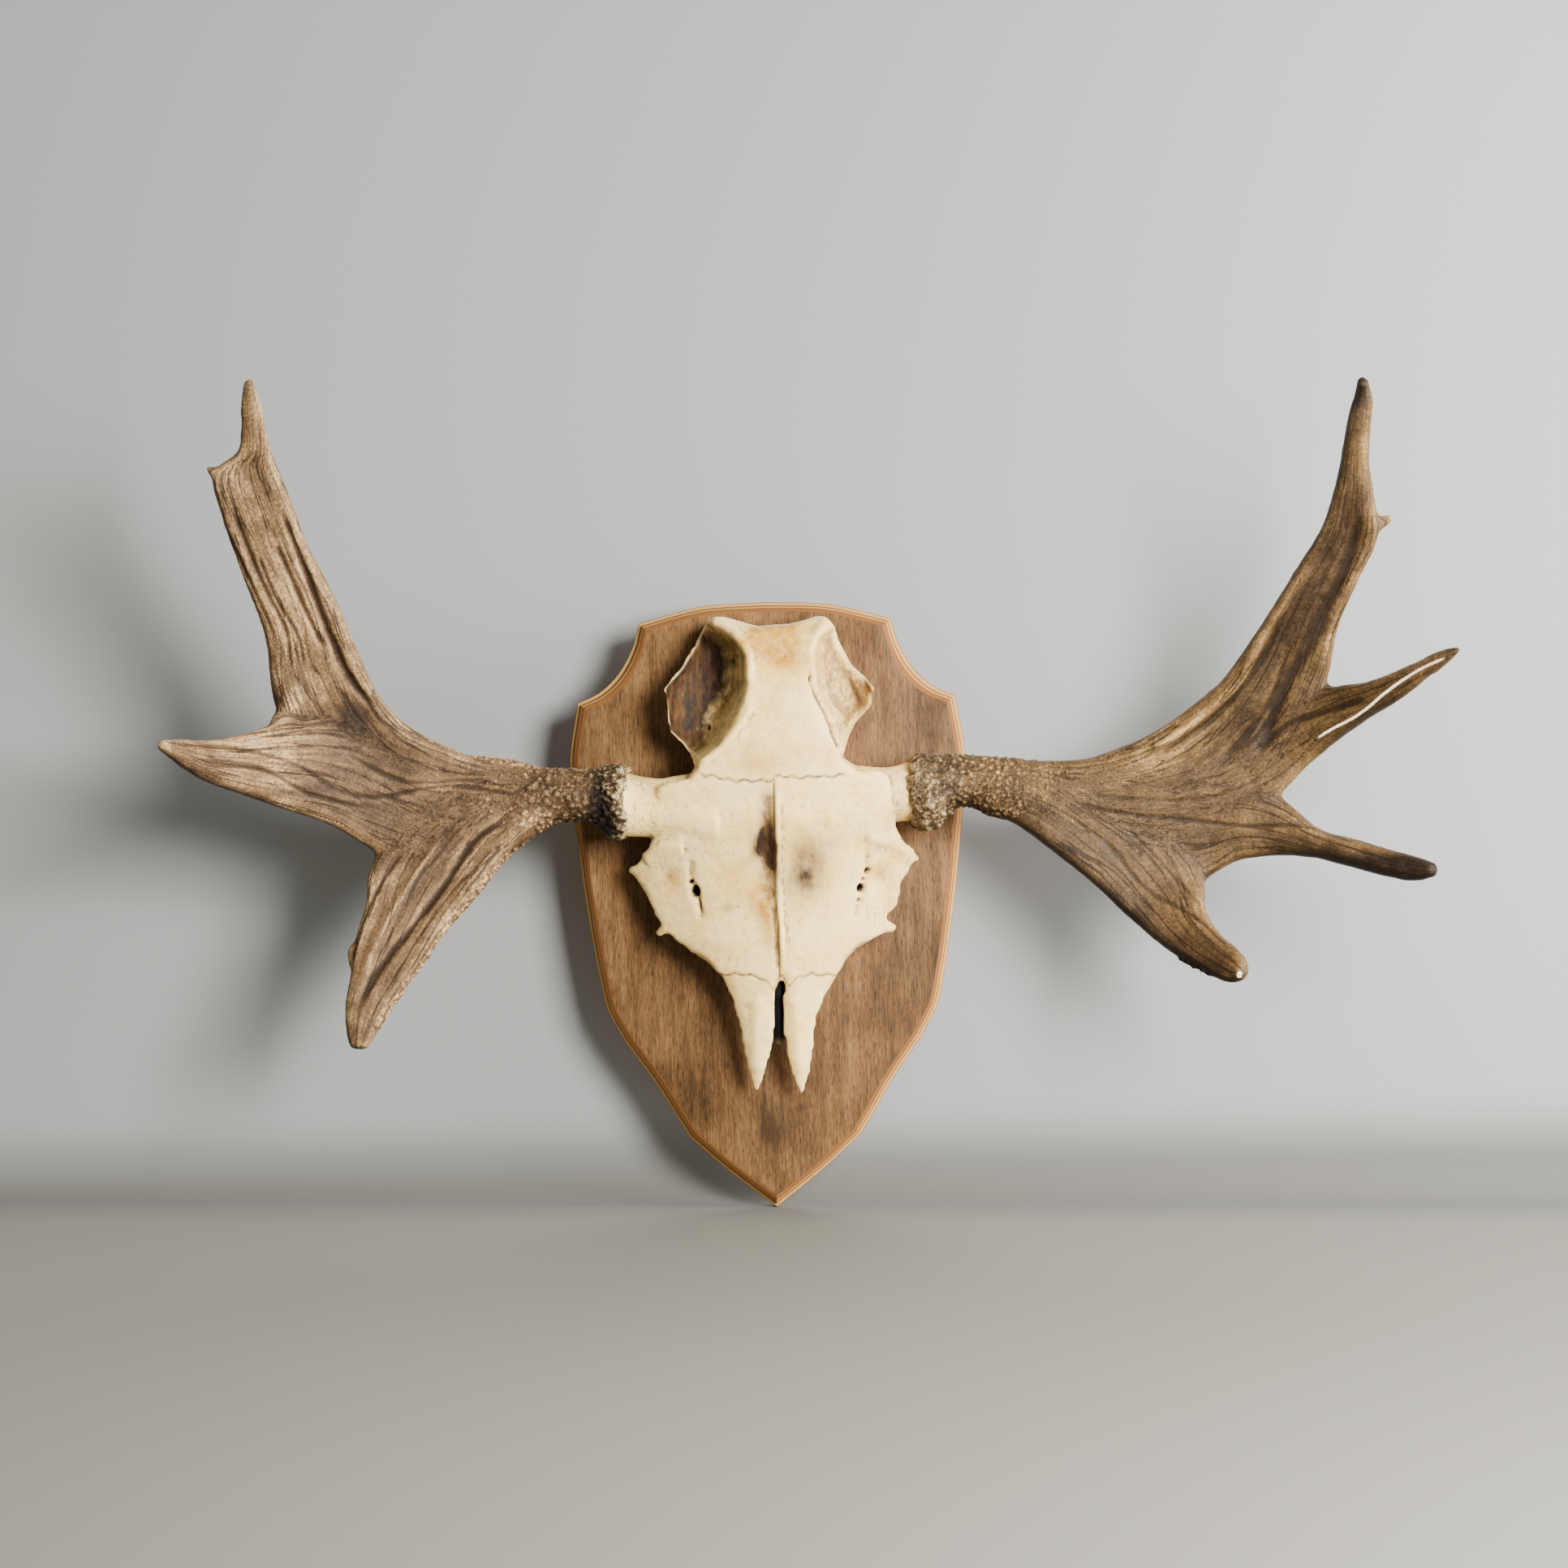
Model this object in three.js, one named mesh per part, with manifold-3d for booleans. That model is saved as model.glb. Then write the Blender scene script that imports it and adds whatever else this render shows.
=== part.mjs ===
// A moose trophy: two palmate antlers on the cut-down skull cap they grew from, screwed to a shield-shaped
// plywood board that hangs on a wall. Millimetres, +Z up. The trophy looks along -Y, and Y = 0 is the board's
// back face. Left and right are those of a person who stands in front of the trophy and looks at it.
import * as THREE from "three";
import { mergeVertices } from "three/addons/utils/BufferGeometryUtils.js";
import Module from "manifold-3d";

const wasm = await Module();
wasm.setup();

// ---------------------------------------------------------------- driving dimensions

const GAP = 0.3; // clearance between touching pieces
const BOARD_THICK = 18;
const BOARD_FRONT = -BOARD_THICK;
const SKULL_OFFSET_X = 3.5; // the skull was screwed on a little right of the board's middle

// The board's right half, from the middle of the top down to the point, as curves that meet at its corners.
// Each has [x, z] points and the number of straight pieces it is drawn with.
const BOARD_RUNS = [
  { pieces: 5, points: [[0, 212], [45, 209.5], [88, 199]] },
  { pieces: 6, points: [[88, 199], [93, 182], [104, 163], [117, 151], [132, 144]] },
  { pieces: 12, points: [[132, 144], [138, 104], [134, 48], [129, 5], [121, -46], [115, -72], [104, -93]] },
  { pieces: 5, points: [[104, -93], [93, -108.5], [83, -123], [71, -143], [60, -161]] },
  { pieces: 4, points: [[60, -161], [35.5, -183], [0, -211]] },
];
// The moulded edge from the back face to the front face: [distance in from the outline, y].
const EDGE_PROFILE = [[0, 0], [0, -9], [2, -10.2], [3.4, -12.2], [5.8, -16.8], [7.5, -18]];

// Skull cap outlines, [x, z] from the skull's own midline. Each runs round one bone.
const SUTURE_CROWN_Z = 86; // between braincase and frontal bones
const SUTURE_NASAL_Z = -46; // between frontal and nasal bones
const BRAINCASE_OUTLINE = [
  [0, 193], [-12, 192], [-24, 194], [-35, 198], [-47, 195], [-56, 179], [-65, 163], [-76, 150], [-74, 133],
  [-73, 120], [-63, 110], [-58, 101], [-55, SUTURE_CROWN_Z], [-28, SUTURE_CROWN_Z - 2],
  [0, SUTURE_CROWN_Z - 1], [28, SUTURE_CROWN_Z - 1], [52, SUTURE_CROWN_Z], [46, 104], [48, 113], [54, 127],
  [64, 138], [66, 151], [52, 165], [41, 184], [40, 192], [34, 198], [24, 199], [14, 195],
];
const FRONTAL_LEFT_OUTLINE = [
  [-0.2, SUTURE_CROWN_Z - 1 - GAP], [-28, SUTURE_CROWN_Z - 2 - GAP], [-55, SUTURE_CROWN_Z - GAP], [-64, 85],
  [-72, 80], [-76, 66], [-74, 52], [-82, 46], [-86, 41], [-93, 33], [-101, 27], [-97, 22], [-93, 16],
  [-88, 7], [-86, -2], [-81, -11], [-84, -20], [-74, -16], [-63, -24], [-53, -32], [-44, -40],
  [-37, SUTURE_NASAL_Z], [-20, SUTURE_NASAL_Z + 1], [-5, SUTURE_NASAL_Z - 3], [-0.2, SUTURE_NASAL_Z - 1],
];
const FRONTAL_RIGHT_OUTLINE = [
  [0.2, SUTURE_NASAL_Z - 1], [6, SUTURE_NASAL_Z - 3], [20, SUTURE_NASAL_Z + 1], [37, SUTURE_NASAL_Z],
  [47, -34], [57, -25], [66, -20], [82, -17], [82, -11], [75, -6], [83, 2], [84, 17], [91, 28], [98, 35],
  [91, 42], [84, 48], [78, 54], [76, 66], [72, 82], [60, 86], [52, SUTURE_CROWN_Z - GAP],
  [28, SUTURE_CROWN_Z - 1 - GAP], [0.2, SUTURE_CROWN_Z - 1 - GAP],
];
const NASAL_LEFT_OUTLINE = [
  [-37, SUTURE_NASAL_Z - GAP], [-30, -62], [-26, -80], [-22, -98], [-19, -114], [-14, -122], [-11, -114],
  [-7, -102], [-4, -91], [-1.5, -75], [-2, -58], [-5, SUTURE_NASAL_Z - 3 - GAP],
  [-20, SUTURE_NASAL_Z + 1 - GAP],
];
const NASAL_RIGHT_OUTLINE = [
  [37, SUTURE_NASAL_Z - GAP], [20, SUTURE_NASAL_Z + 1 - GAP], [6, SUTURE_NASAL_Z - 3 - GAP], [5, -66],
  [5, -82], [8, -101], [13, -117], [16, -122], [22, -110], [25, -89], [27, -73], [33, -58],
];

// Height of the skull's midline above the board's front, from the nasal tips to the nape: [z, height].
const MIDLINE_HEIGHTS = [
  [-124, 23], [-100, 31], [-80, 37], [-46, 46], [-22, 51], [0, 55], [20, 60], [40, 66], [60, 73], [86, 77],
  [112, 80], [140, 81], [165, 77], [186, 69], [196, 58], [206, 46],
];
// How far the skull has dropped away 90 mm to the side of the midline: [z, drop].
const SIDE_DROPS = [[-124, 60], [-46, 50], [-20, 36], [10, 33], [40, 26], [66, 12], [90, 12], [206, 12]];
const SIDE_REACH = 90;
const SIDE_CURVE = 2.2; // how suddenly the sides fall away
// Half-width of the flat top of the braincase between the temple hollows: [z, half-width].
const CROWN_HALF_WIDTHS = [
  [80, 60], [96, 50], [112, 38], [128, 29], [145, 24], [165, 21], [185, 24], [200, 36],
];
const TEMPLE_HEIGHT = 34; // of the temple hollow's floor above the board
const TEMPLE_SLOPE = 24; // width of the wall between crown and hollow
const TEMPLE_FADE = [90, 118]; // z over which the hollows deepen to their floor
const BONE_THICK = 7; // where the skull overhangs the board
const OVERHANG_SIDE = [52, 62]; // |x| over which the skull leaves the board
const OVERHANG_SNOUT = [-44, -30]; // z over which the snout leaves the board
const SKULL_GRID = { braincase: 7.5, frontal: 10, nasal: 8 }; // spacing of the points that shape a bone

// Hollows in the skull: ellipsoids about [x, z] on the board's front face, with radii [x, y, z].
const BRAIN_CAVITY = { centre: [0, 125], radii: [32, 44, 34] };
const NASAL_CAVITY = { centre: [0, -8], radii: [36, 34, 42] };
const EYE_SOCKETS = [-84, 84].map((x) => ({ centre: [x, 22], radii: [27, 48, 22] }));

const PEDICLE_Y = -64;
const PEDICLE_ROOT_X = 40; // how far from the midline a pedicle starts inside the skull
// A pedicle's waist: [share of the way out, drop, what its radius adds to the end's].
const PEDICLE_ROWS = [[0, 4, 9], [0.35, 1, 4], [0.7, 0, -0.5], [1, 0, 1]];
const LEFT_PEDICLE = { end: -103, z: 69, radius: 20 };
const RIGHT_PEDICLE = { end: 94, z: 71, radius: 20 };

// The antlers' cross-sections: [x, z] of one edge, [x, z] of the other, y of both and half-thickness.
const LEFT_STEM = [
  [-109, 98, -109, 52, -64, 23], [-120, 97, -121, 60, -66, 19], [-145, 98, -145, 63, -68, 18],
  [-170, 99, -167, 54, -72, 16], [-193, 104, -192, 45, -78, 13], [-221, 117, -238, 46, -86, 11],
  [-244, 130, -285, 69, -93, 10], [-263, 153, -315, 114, -102, 10], [-274, 181, -330, 148, -112, 10],
  [-287, 217, -334, 191, -126, 9.5], [-300, 246, -345, 225, -140, 9], [-311, 281, -356, 267, -156, 9],
  [-318, 302, -359, 294, -166, 8], [-321, 314, -342, 306, -172, 7], [-325, 329, -336, 324, -181, 5.5],
  [-329, 345, -334, 342, -191, 3], [-331, 351, -331.5, 351, -195, 0.8],
];
const LEFT_OUTER_TINE = [
  [-214, 109, -216, 19, -84, 8], [-257, 126, -264, 42, -92, 9], [-298, 135, -297, 63, -106, 9.5],
  [-331, 131, -327, 75, -124, 10], [-355, 124, -350, 85, -142, 10], [-373, 122, -370, 94, -160, 8.5],
  [-385, 122, -382, 105, -178, 5.5], [-395, 121, -395, 119, -191, 1],
];
const LEFT_BROW = [
  [-155, 63, -193, 100, -76, 14], [-179, 40, -237, 77, -84, 12], [-202, 11, -272, 35, -92, 10],
  [-222, -11, -275, 9, -100, 9.5], [-237, -34, -281, -12, -108, 9], [-249, -50, -283, -32, -114, 8.5],
  [-259, -62, -288, -53, -120, 8], [-268, -75, -289, -72, -126, 6.5], [-278, -84, -282, -85, -130, 2],
];
const RIGHT_STEM = [
  [100, 102, 100, 54, -64, 23], [124, 102, 123, 68, -66, 19], [149, 100, 149, 64, -68, 18],
  [183, 97, 179, 46, -72, 16], [211, 98, 209, 29, -78, 13], [238, 106, 261, 33, -86, 11],
  [260, 117, 304, 57, -95, 10], [281, 132, 341, 89, -103, 10], [300, 148, 363, 121, -111, 10],
  [316, 170, 375, 150, -119, 10], [332, 195, 378, 179, -130, 9.5], [346, 219, 387, 208, -142, 9],
  [361, 245, 401, 238, -156, 8], [368, 270, 395, 265, -168, 8], [371, 290, 390, 288, -179, 7.5],
  [373, 309, 390, 310, -190, 6.5], [376, 325, 388, 326, -198, 4.5], [380, 336, 382, 336, -204, 1],
];
const RIGHT_UPPER_TINE = [
  [331, 143, 330, 78, -104, 9], [358, 140, 351, 89, -112, 9.5], [379, 146, 371, 108, -125, 9.5],
  [395, 144, 389, 117, -141, 8.5], [411, 150, 409, 131, -157, 7], [425, 158, 426, 146, -173, 5],
  [435, 161, 436, 155, -186, 2.8], [441, 162, 441, 160, -191, 0.8],
];
const RIGHT_LOWER_TINE = [
  [262, 84, 256, 22, -88, 9], [288, 85, 283, 13, -92, 9], [320, 79, 311, 26, -98, 10],
  [346, 64, 337, 29, -106, 10], [363, 48, 359, 29, -116, 9.5], [383, 41, 381, 25, -128, 8.5],
  [408, 32, 405, 19, -142, 6.5], [423, 27, 421, 17, -152, 4.5], [433, 21, 433, 19, -160, 1],
];
const RIGHT_BROW = [
  [165, 56, 197, 92, -74, 14], [195, 33, 240, 69, -82, 12], [216, 15, 274, 44, -89, 10.5],
  [240, -9, 288, 14, -99, 10], [258, -25, 288, -6, -110, 9.5], [275, -37, 295, -20, -122, 9],
  [291, -45, 303, -29, -134, 7.5], [300, -48, 310, -36, -142, 5], [308, -45, 310, -43, -148, 1],
];
// The burrs, the rough collars at the antlers' feet: [x, radius] along each beam.
const LEFT_BURR = [[-103.3, 22], [-106, 28], [-110, 28.5], [-116, 20]];
const RIGHT_BURR = [[94.3, 22], [98, 28], [110, 29], [119, 20]];
const LEFT_BURR_Z = 75;
const RIGHT_BURR_Z = 76;
const RING_POINTS = 18; // round a burr or pedicle
const BLADE_POINTS = 12; // round a blade or tine
const BURR_RUFFLE = 1.2; // how far the burr's edge goes in and out
const CUP = 0.16; // how deep a blade is dished, as a share of its half-width

// Where each antler is divided at its forks: the two ends of a thin cut, [x, z], past both edges.
const LEFT_FORKS = [
  [[-170, 114], [-166, 38]],
  [[-250, 163], [-336, 140]],
  [[-335, 143], [-297, 55]],
  [[-194, 13], [-278, 40]],
];
const RIGHT_FORKS = [
  [[183, 112], [178, 32]],
  [[298, 173], [385, 158]],
  [[379, 161], [351, 78]],
  [[348, 74], [317, 14]],
  [[220, -11], [300, 8]],
];

const HANGER = { z: 138, width: 18, height: 50, thick: 2 };
const KEYHOLE = { radius: 4.5, slotRadius: 2.4, drop: 5, slotLength: 12 };
const NAIL_ROOM = { width: 12, height: 26, depth: 8 }; // the space behind the plate for a nail's head
const HANGER_SCREW = { radius: 1.4, headRadius: 3, length: 13.7, fromEnd: 6 };
const SKULL_SCREW = { radius: 2, headRadius: 4, headHeight: 2.2, sunk: 1, boneDepth: 24 };
const SKULL_SCREW_PLACES = {
  skull_screw_top: [0, 178],
  skull_screw_left: [-24, 52],
  skull_screw_right: [24, 52],
}; // [x, z] on the skull

const ROUND_SEGMENTS = 14;
const BEYOND = 300; // longer than anything it has to cut
const CUT_OVER = 1; // how far a hole runs out of the face it opens in

// ---------------------------------------------------------------- materials

function finish(color, roughness, metalness = 0) {
  return new THREE.MeshStandardMaterial({ color, roughness, metalness });
}
const WOOD = finish(0x87643f, 0.55);
const BONE = finish(0xeadfc4, 0.6);
const ANTLER = finish(0x8a6a4a, 0.6);
const STEEL = finish(0x9a9a98, 0.35, 1);

// ---------------------------------------------------------------- helpers

// A closed geometry as a manifold-3d solid.
function solidOf(geometry) {
  const bare = geometry.index ? geometry.toNonIndexed() : geometry.clone();
  bare.deleteAttribute("normal");
  bare.deleteAttribute("uv");
  const merged = mergeVertices(bare, 1e-3);
  return new wasm.Manifold(
    new wasm.Mesh({
      numProp: 3,
      vertProperties: merged.attributes.position.array,
      triVerts: new Uint32Array(merged.index.array),
    }),
  );
}

function geometryOf(solid) {
  const mesh = solid.getMesh();
  return new THREE.BufferGeometry()
    .setAttribute("position", new THREE.BufferAttribute(mesh.vertProperties, 3))
    .setIndex(new THREE.BufferAttribute(mesh.triVerts, 1));
}

function piece(name, solid, material) {
  const mesh = new THREE.Mesh(geometryOf(solid), material);
  mesh.name = name;
  return mesh;
}

const join = (solids) => solids.reduce((whole, solid) => whole.add(solid));
const cut = (solid, tools) => tools.reduce((left, tool) => left.subtract(tool), solid);

// The value at z of a list of [z, value] rows, straight between rows.
function at(rows, z) {
  const upper = rows.findIndex(([rowZ]) => z <= rowZ);
  if (upper === 0) return rows[0][1];
  if (upper < 0) return rows.at(-1)[1];
  const [z0, v0] = rows[upper - 1];
  const [z1, v1] = rows[upper];
  return v0 + ((v1 - v0) * (z - z0)) / (z1 - z0);
}

// Joins closed loops of points, all of one length, into a tube. A fan about a loop's middle closes each end.
function tube(loops) {
  const count = loops[0].length;
  const points = loops.flat();
  const faces = [];
  for (let i = 0; i + 1 < loops.length; i++)
    for (let j = 0; j < count; j++) {
      const a = i * count + j;
      const b = i * count + ((j + 1) % count);
      faces.push([a, b, a + count], [b, b + count, a + count]);
    }
  for (const first of [0, (loops.length - 1) * count]) {
    const middle = new THREE.Vector3();
    for (let j = 0; j < count; j++) middle.addScaledVector(points[first + j], 1 / count);
    points.push(middle);
    for (let j = 0; j < count; j++) {
      const edge = [first + j, first + ((j + 1) % count)];
      faces.push([...(first ? edge : edge.reverse()), points.length - 1]);
    }
  }
  const build = (triangles) =>
    solidOf(new THREE.BufferGeometry().setFromPoints(points).setIndex(triangles.flat()));
  const made = build(faces);
  return made.volume() > 0 ? made : build(faces.map((face) => face.toReversed()));
}

// A closed extrusion of an [x, z] outline, from behind the board's front face to far in front of the skull.
function slab(outline) {
  const shape = new THREE.Shape(outline.map(([x, z]) => new THREE.Vector2(x, z)));
  const geometry = new THREE.ExtrudeGeometry(shape, { depth: BEYOND, bevelEnabled: false });
  return solidOf(geometry.rotateX(Math.PI / 2));
}

function box(width, depth, height, x, y, z) {
  return solidOf(new THREE.BoxGeometry(width, depth, height).translate(x, y, z));
}

// A round bar or cone along Y.
function bar(radius, y0, y1, x, z, endRadius = radius) {
  const geometry = new THREE.CylinderGeometry(endRadius, radius, y1 - y0, ROUND_SEGMENTS);
  return solidOf(geometry.translate(x, (y0 + y1) / 2, z));
}

// ---------------------------------------------------------------- the board

// The whole outline, from the middle of the top down the right side and back up the left.
function boardOutline() {
  const right = BOARD_RUNS.flatMap(({ pieces, points }) => {
    const curve = new THREE.SplineCurve(points.map(([x, z]) => new THREE.Vector2(x, z)));
    return curve.getPoints(pieces).slice(0, -1);
  });
  const [tipX, tipZ] = BOARD_RUNS.at(-1).points.at(-1);
  const left = right.slice(1).reverse().map((p) => new THREE.Vector2(-p.x, p.y));
  return [...right, new THREE.Vector2(tipX, tipZ), ...left];
}

// The outline moved inwards by a distance, each point along the bisector of its two sides.
function inset(outline, distance) {
  return outline.map((p, i) => {
    const before = outline.at(i - 1);
    const after = outline[(i + 1) % outline.length];
    const inward = [p.clone().sub(before), after.clone().sub(p)].map((side) =>
      new THREE.Vector2(side.y, -side.x).normalize(),
    );
    const bisector = inward[0].clone().add(inward[1]).normalize();
    return p.clone().addScaledVector(bisector, distance / bisector.dot(inward[0]));
  });
}

function boardBlank() {
  const outline = boardOutline();
  const loopAt = ([distance, y]) => inset(outline, distance).map((p) => new THREE.Vector3(p.x, y, p.y));
  return tube(EDGE_PROFILE.map(loopAt));
}

// ---------------------------------------------------------------- the hanger, let into the board's back

function hangerPlate() {
  const { z, width, height, thick } = HANGER;
  const { radius, slotRadius, drop, slotLength } = KEYHOLE;
  const holeZ = z - drop;
  return cut(box(width, thick, height, 0, -GAP - thick / 2, z), [
    bar(radius, -thick - CUT_OVER, CUT_OVER, 0, holeZ),
    box(2 * slotRadius, BEYOND, slotLength, 0, 0, holeZ + slotLength / 2),
    bar(slotRadius, -thick - CUT_OVER, CUT_OVER, 0, holeZ + slotLength),
    hangerScrewHole(1),
    hangerScrewHole(-1),
  ]);
}

function hangerPocket() {
  const { z, width, height, thick } = HANGER;
  const depth = thick + 2 * GAP;
  const plateRoom = box(width + 2 * GAP, 2 * depth, height + 2 * GAP, 0, 0, z);
  const nailRoom = box(NAIL_ROOM.width, 2 * (depth + NAIL_ROOM.depth), NAIL_ROOM.height, 0, 0, z);
  return plateRoom.add(nailRoom);
}

// A countersunk screw whose head is flush with the plate. spare makes it bigger all round, for its hole.
function hangerScrewShape(end, spare) {
  const { radius, headRadius, length, fromEnd } = HANGER_SCREW;
  const z = HANGER.z + end * (HANGER.height / 2 - fromEnd);
  const headBase = -GAP - HANGER.thick;
  const shank = bar(radius + spare, -GAP - length - spare, headBase, 0, z);
  return shank.add(bar(radius + spare, headBase, -GAP, 0, z, headRadius + spare));
}

const hangerScrewHole = (end) => hangerScrewShape(end, GAP);

// ---------------------------------------------------------------- the screws that hold the skull

// A screw from the board's back into the bone. spare makes it bigger all round, for its hole.
function skullScrewShape([x, z], spare) {
  const { radius, headRadius, headHeight, sunk, boneDepth } = SKULL_SCREW;
  const headBase = -sunk - headHeight;
  const shank = bar(radius + spare, BOARD_FRONT - boneDepth - spare, headBase, x, z);
  return shank.add(bar(radius + spare, headBase, -sunk, x, z, headRadius + spare));
}

function skullScrewHole(place) {
  const { headRadius, sunk } = SKULL_SCREW;
  return skullScrewShape(place, GAP).add(bar(headRadius + GAP, -sunk, CUT_OVER, ...place));
}

// ---------------------------------------------------------------- the skull cap

const fade = (v, [from, to]) => THREE.MathUtils.smoothstep(v, from, to);

// Height of the skull's front surface above the board's front face.
function frontHeight(x, z) {
  const side = Math.abs(x);
  const crown = at(MIDLINE_HEIGHTS, z) - at(SIDE_DROPS, z) * (side / SIDE_REACH) ** SIDE_CURVE;
  const half = at(CROWN_HALF_WIDTHS, z);
  const temple = fade(side, [half, half + TEMPLE_SLOPE]) * fade(z, TEMPLE_FADE);
  return THREE.MathUtils.lerp(crown, TEMPLE_HEIGHT, temple);
}

// Height of its back: on the board in the middle, a bone's thickness under the front at the sides and snout.
function backHeight(x, z) {
  const underside = Math.max(GAP, frontHeight(x, z) - BONE_THICK);
  const overhang = Math.max(fade(Math.abs(x), OVERHANG_SIDE), 1 - fade(z, OVERHANG_SNOUT));
  return THREE.MathUtils.lerp(GAP, underside, overhang);
}

// A bone: the space between the skull's two surfaces, inside the bone's outline.
function bone(outline, step) {
  const bounds = new THREE.Box2().setFromPoints(outline.map(([x, z]) => new THREE.Vector2(x, z)));
  bounds.expandByScalar(CUT_OVER);
  const size = bounds.getSize(new THREE.Vector2());
  const geometry = new THREE.BoxGeometry(1, 1, 1, Math.ceil(size.x / step), 1, Math.ceil(size.y / step));
  const place = geometry.attributes.position;
  for (let i = 0; i < place.count; i++) {
    const x = bounds.min.x + (place.getX(i) + 0.5) * size.x;
    const z = bounds.min.y + (place.getZ(i) + 0.5) * size.y;
    const height = place.getY(i) < 0 ? frontHeight(x, z) : backHeight(x, z);
    place.setXYZ(i, x, BOARD_FRONT - height, z);
  }
  return solidOf(geometry).intersect(slab(outline));
}

function hollow({ centre: [x, z], radii }) {
  return solidOf(new THREE.SphereGeometry(1, 16, 10).scale(...radii).translate(x, BOARD_FRONT, z));
}

// A ring of points round the X direction, at the pedicles' depth and never nearer the board than a gap.
function ringAcross(x, z, radius, ruffle = 0) {
  return Array.from({ length: RING_POINTS }, (_, j) => {
    const turn = (j / RING_POINTS) * 2 * Math.PI;
    const r = radius + (j % 2 ? ruffle : -ruffle);
    const y = Math.min(BOARD_FRONT - GAP, PEDICLE_Y + r * Math.sin(turn));
    return new THREE.Vector3(x, y, z + r * Math.cos(turn));
  });
}

// The stalk of bone that carries an antler.
function pedicle({ end, z, radius }) {
  const start = Math.sign(end) * PEDICLE_ROOT_X;
  return tube(
    PEDICLE_ROWS.map(([share, drop, extra]) =>
      ringAcross(THREE.MathUtils.lerp(start, end, share), z - drop, radius + extra),
    ),
  );
}

function frontalBone(outline, stalk, crown) {
  const plate = bone(outline, SKULL_GRID.frontal);
  return cut(plate.add(pedicle(stalk).subtract(crown)), [NASAL_CAVITY, ...EYE_SOCKETS].map(hollow));
}

function skullBones() {
  const crown = bone(BRAINCASE_OUTLINE, SKULL_GRID.braincase);
  const bones = {
    braincase: crown.subtract(hollow(BRAIN_CAVITY)),
    frontal_bone_left: frontalBone(FRONTAL_LEFT_OUTLINE, LEFT_PEDICLE, crown),
    frontal_bone_right: frontalBone(FRONTAL_RIGHT_OUTLINE, RIGHT_PEDICLE, crown),
    nasal_bone_left: bone(NASAL_LEFT_OUTLINE, SKULL_GRID.nasal),
    nasal_bone_right: bone(NASAL_RIGHT_OUTLINE, SKULL_GRID.nasal),
  };
  const holes = Object.values(SKULL_SCREW_PLACES).map(skullScrewHole);
  return Object.entries(bones).map(([name, solid]) => piece(name, cut(solid, holes), BONE));
}

// ---------------------------------------------------------------- the antlers

// A flattened blade or tine through its cross-sections, dished towards the board in the middle.
function blade(rows) {
  const centres = rows.map(([ax, az, bx, bz, y]) => new THREE.Vector3((ax + bx) / 2, y, (az + bz) / 2));
  return tube(
    rows.map(([ax, az, bx, bz, , thick], i) => {
      const across = new THREE.Vector3((bx - ax) / 2, 0, (bz - az) / 2);
      const next = centres[Math.min(i + 1, rows.length - 1)];
      const along = next.clone().sub(centres[Math.max(i - 1, 0)]);
      const forward = across.clone().cross(along).normalize();
      if (forward.y > 0) forward.negate();
      const dish = CUP * Math.max(0, across.length() - thick);
      return Array.from({ length: BLADE_POINTS }, (_, j) => {
        const turn = (j / BLADE_POINTS) * 2 * Math.PI;
        const u = Math.cos(turn);
        const v = thick * Math.sin(turn) - dish * (1 - u * u);
        return centres[i].clone().addScaledVector(across, u).addScaledVector(forward, v);
      });
    }),
  );
}

const burr = (rows, z) => tube(rows.map(([x, radius]) => ringAcross(x, z, radius, BURR_RUFFLE)));

// A thin wall that divides an antler at a fork.
function forkCut([[ax, az], [bx, bz]]) {
  const geometry = new THREE.BoxGeometry(Math.hypot(bx - ax, bz - az), 2 * BEYOND, GAP);
  geometry.rotateY(-Math.atan2(bz - az, bx - ax));
  return solidOf(geometry.translate((ax + bx) / 2, 0, (az + bz) / 2));
}

// Divides an antler at its forks. Each piece gets the name whose point, [x, z], lies nearest to its middle.
function forkedPieces(branches, forks, names) {
  return cut(join(branches), forks.map(forkCut)).decompose().map((body) => {
    const { min, max } = body.boundingBox();
    const distance = ([x, z]) => Math.hypot((min[0] + max[0]) / 2 - x, (min[2] + max[2]) / 2 - z);
    const [[name]] = Object.entries(names).sort((p, q) => distance(p[1]) - distance(q[1]));
    return piece(name, body, ANTLER);
  });
}

function leftAntler() {
  const branches = [LEFT_STEM, LEFT_OUTER_TINE, LEFT_BROW].map(blade);
  return forkedPieces([...branches, burr(LEFT_BURR, LEFT_BURR_Z)], LEFT_FORKS, {
    antler_left_beam: [-136, 78],
    antler_left_palm: [-250, 90],
    antler_left_upper_blade: [-310, 245],
    antler_left_outer_tine: [-358, 102],
    antler_left_brow_blade: [-245, -25],
  });
}

function rightAntler() {
  const branches = [RIGHT_STEM, RIGHT_UPPER_TINE, RIGHT_LOWER_TINE, RIGHT_BROW].map(blade);
  return forkedPieces([...branches, burr(RIGHT_BURR, RIGHT_BURR_Z)], RIGHT_FORKS, {
    antler_right_beam: [138, 78],
    antler_right_palm: [280, 85],
    antler_right_upper_blade: [350, 245],
    antler_right_upper_tine: [405, 130],
    antler_right_lower_tine: [390, 38],
    antler_right_brow_blade: [268, -18],
  });
}

// ---------------------------------------------------------------- the trophy

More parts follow.
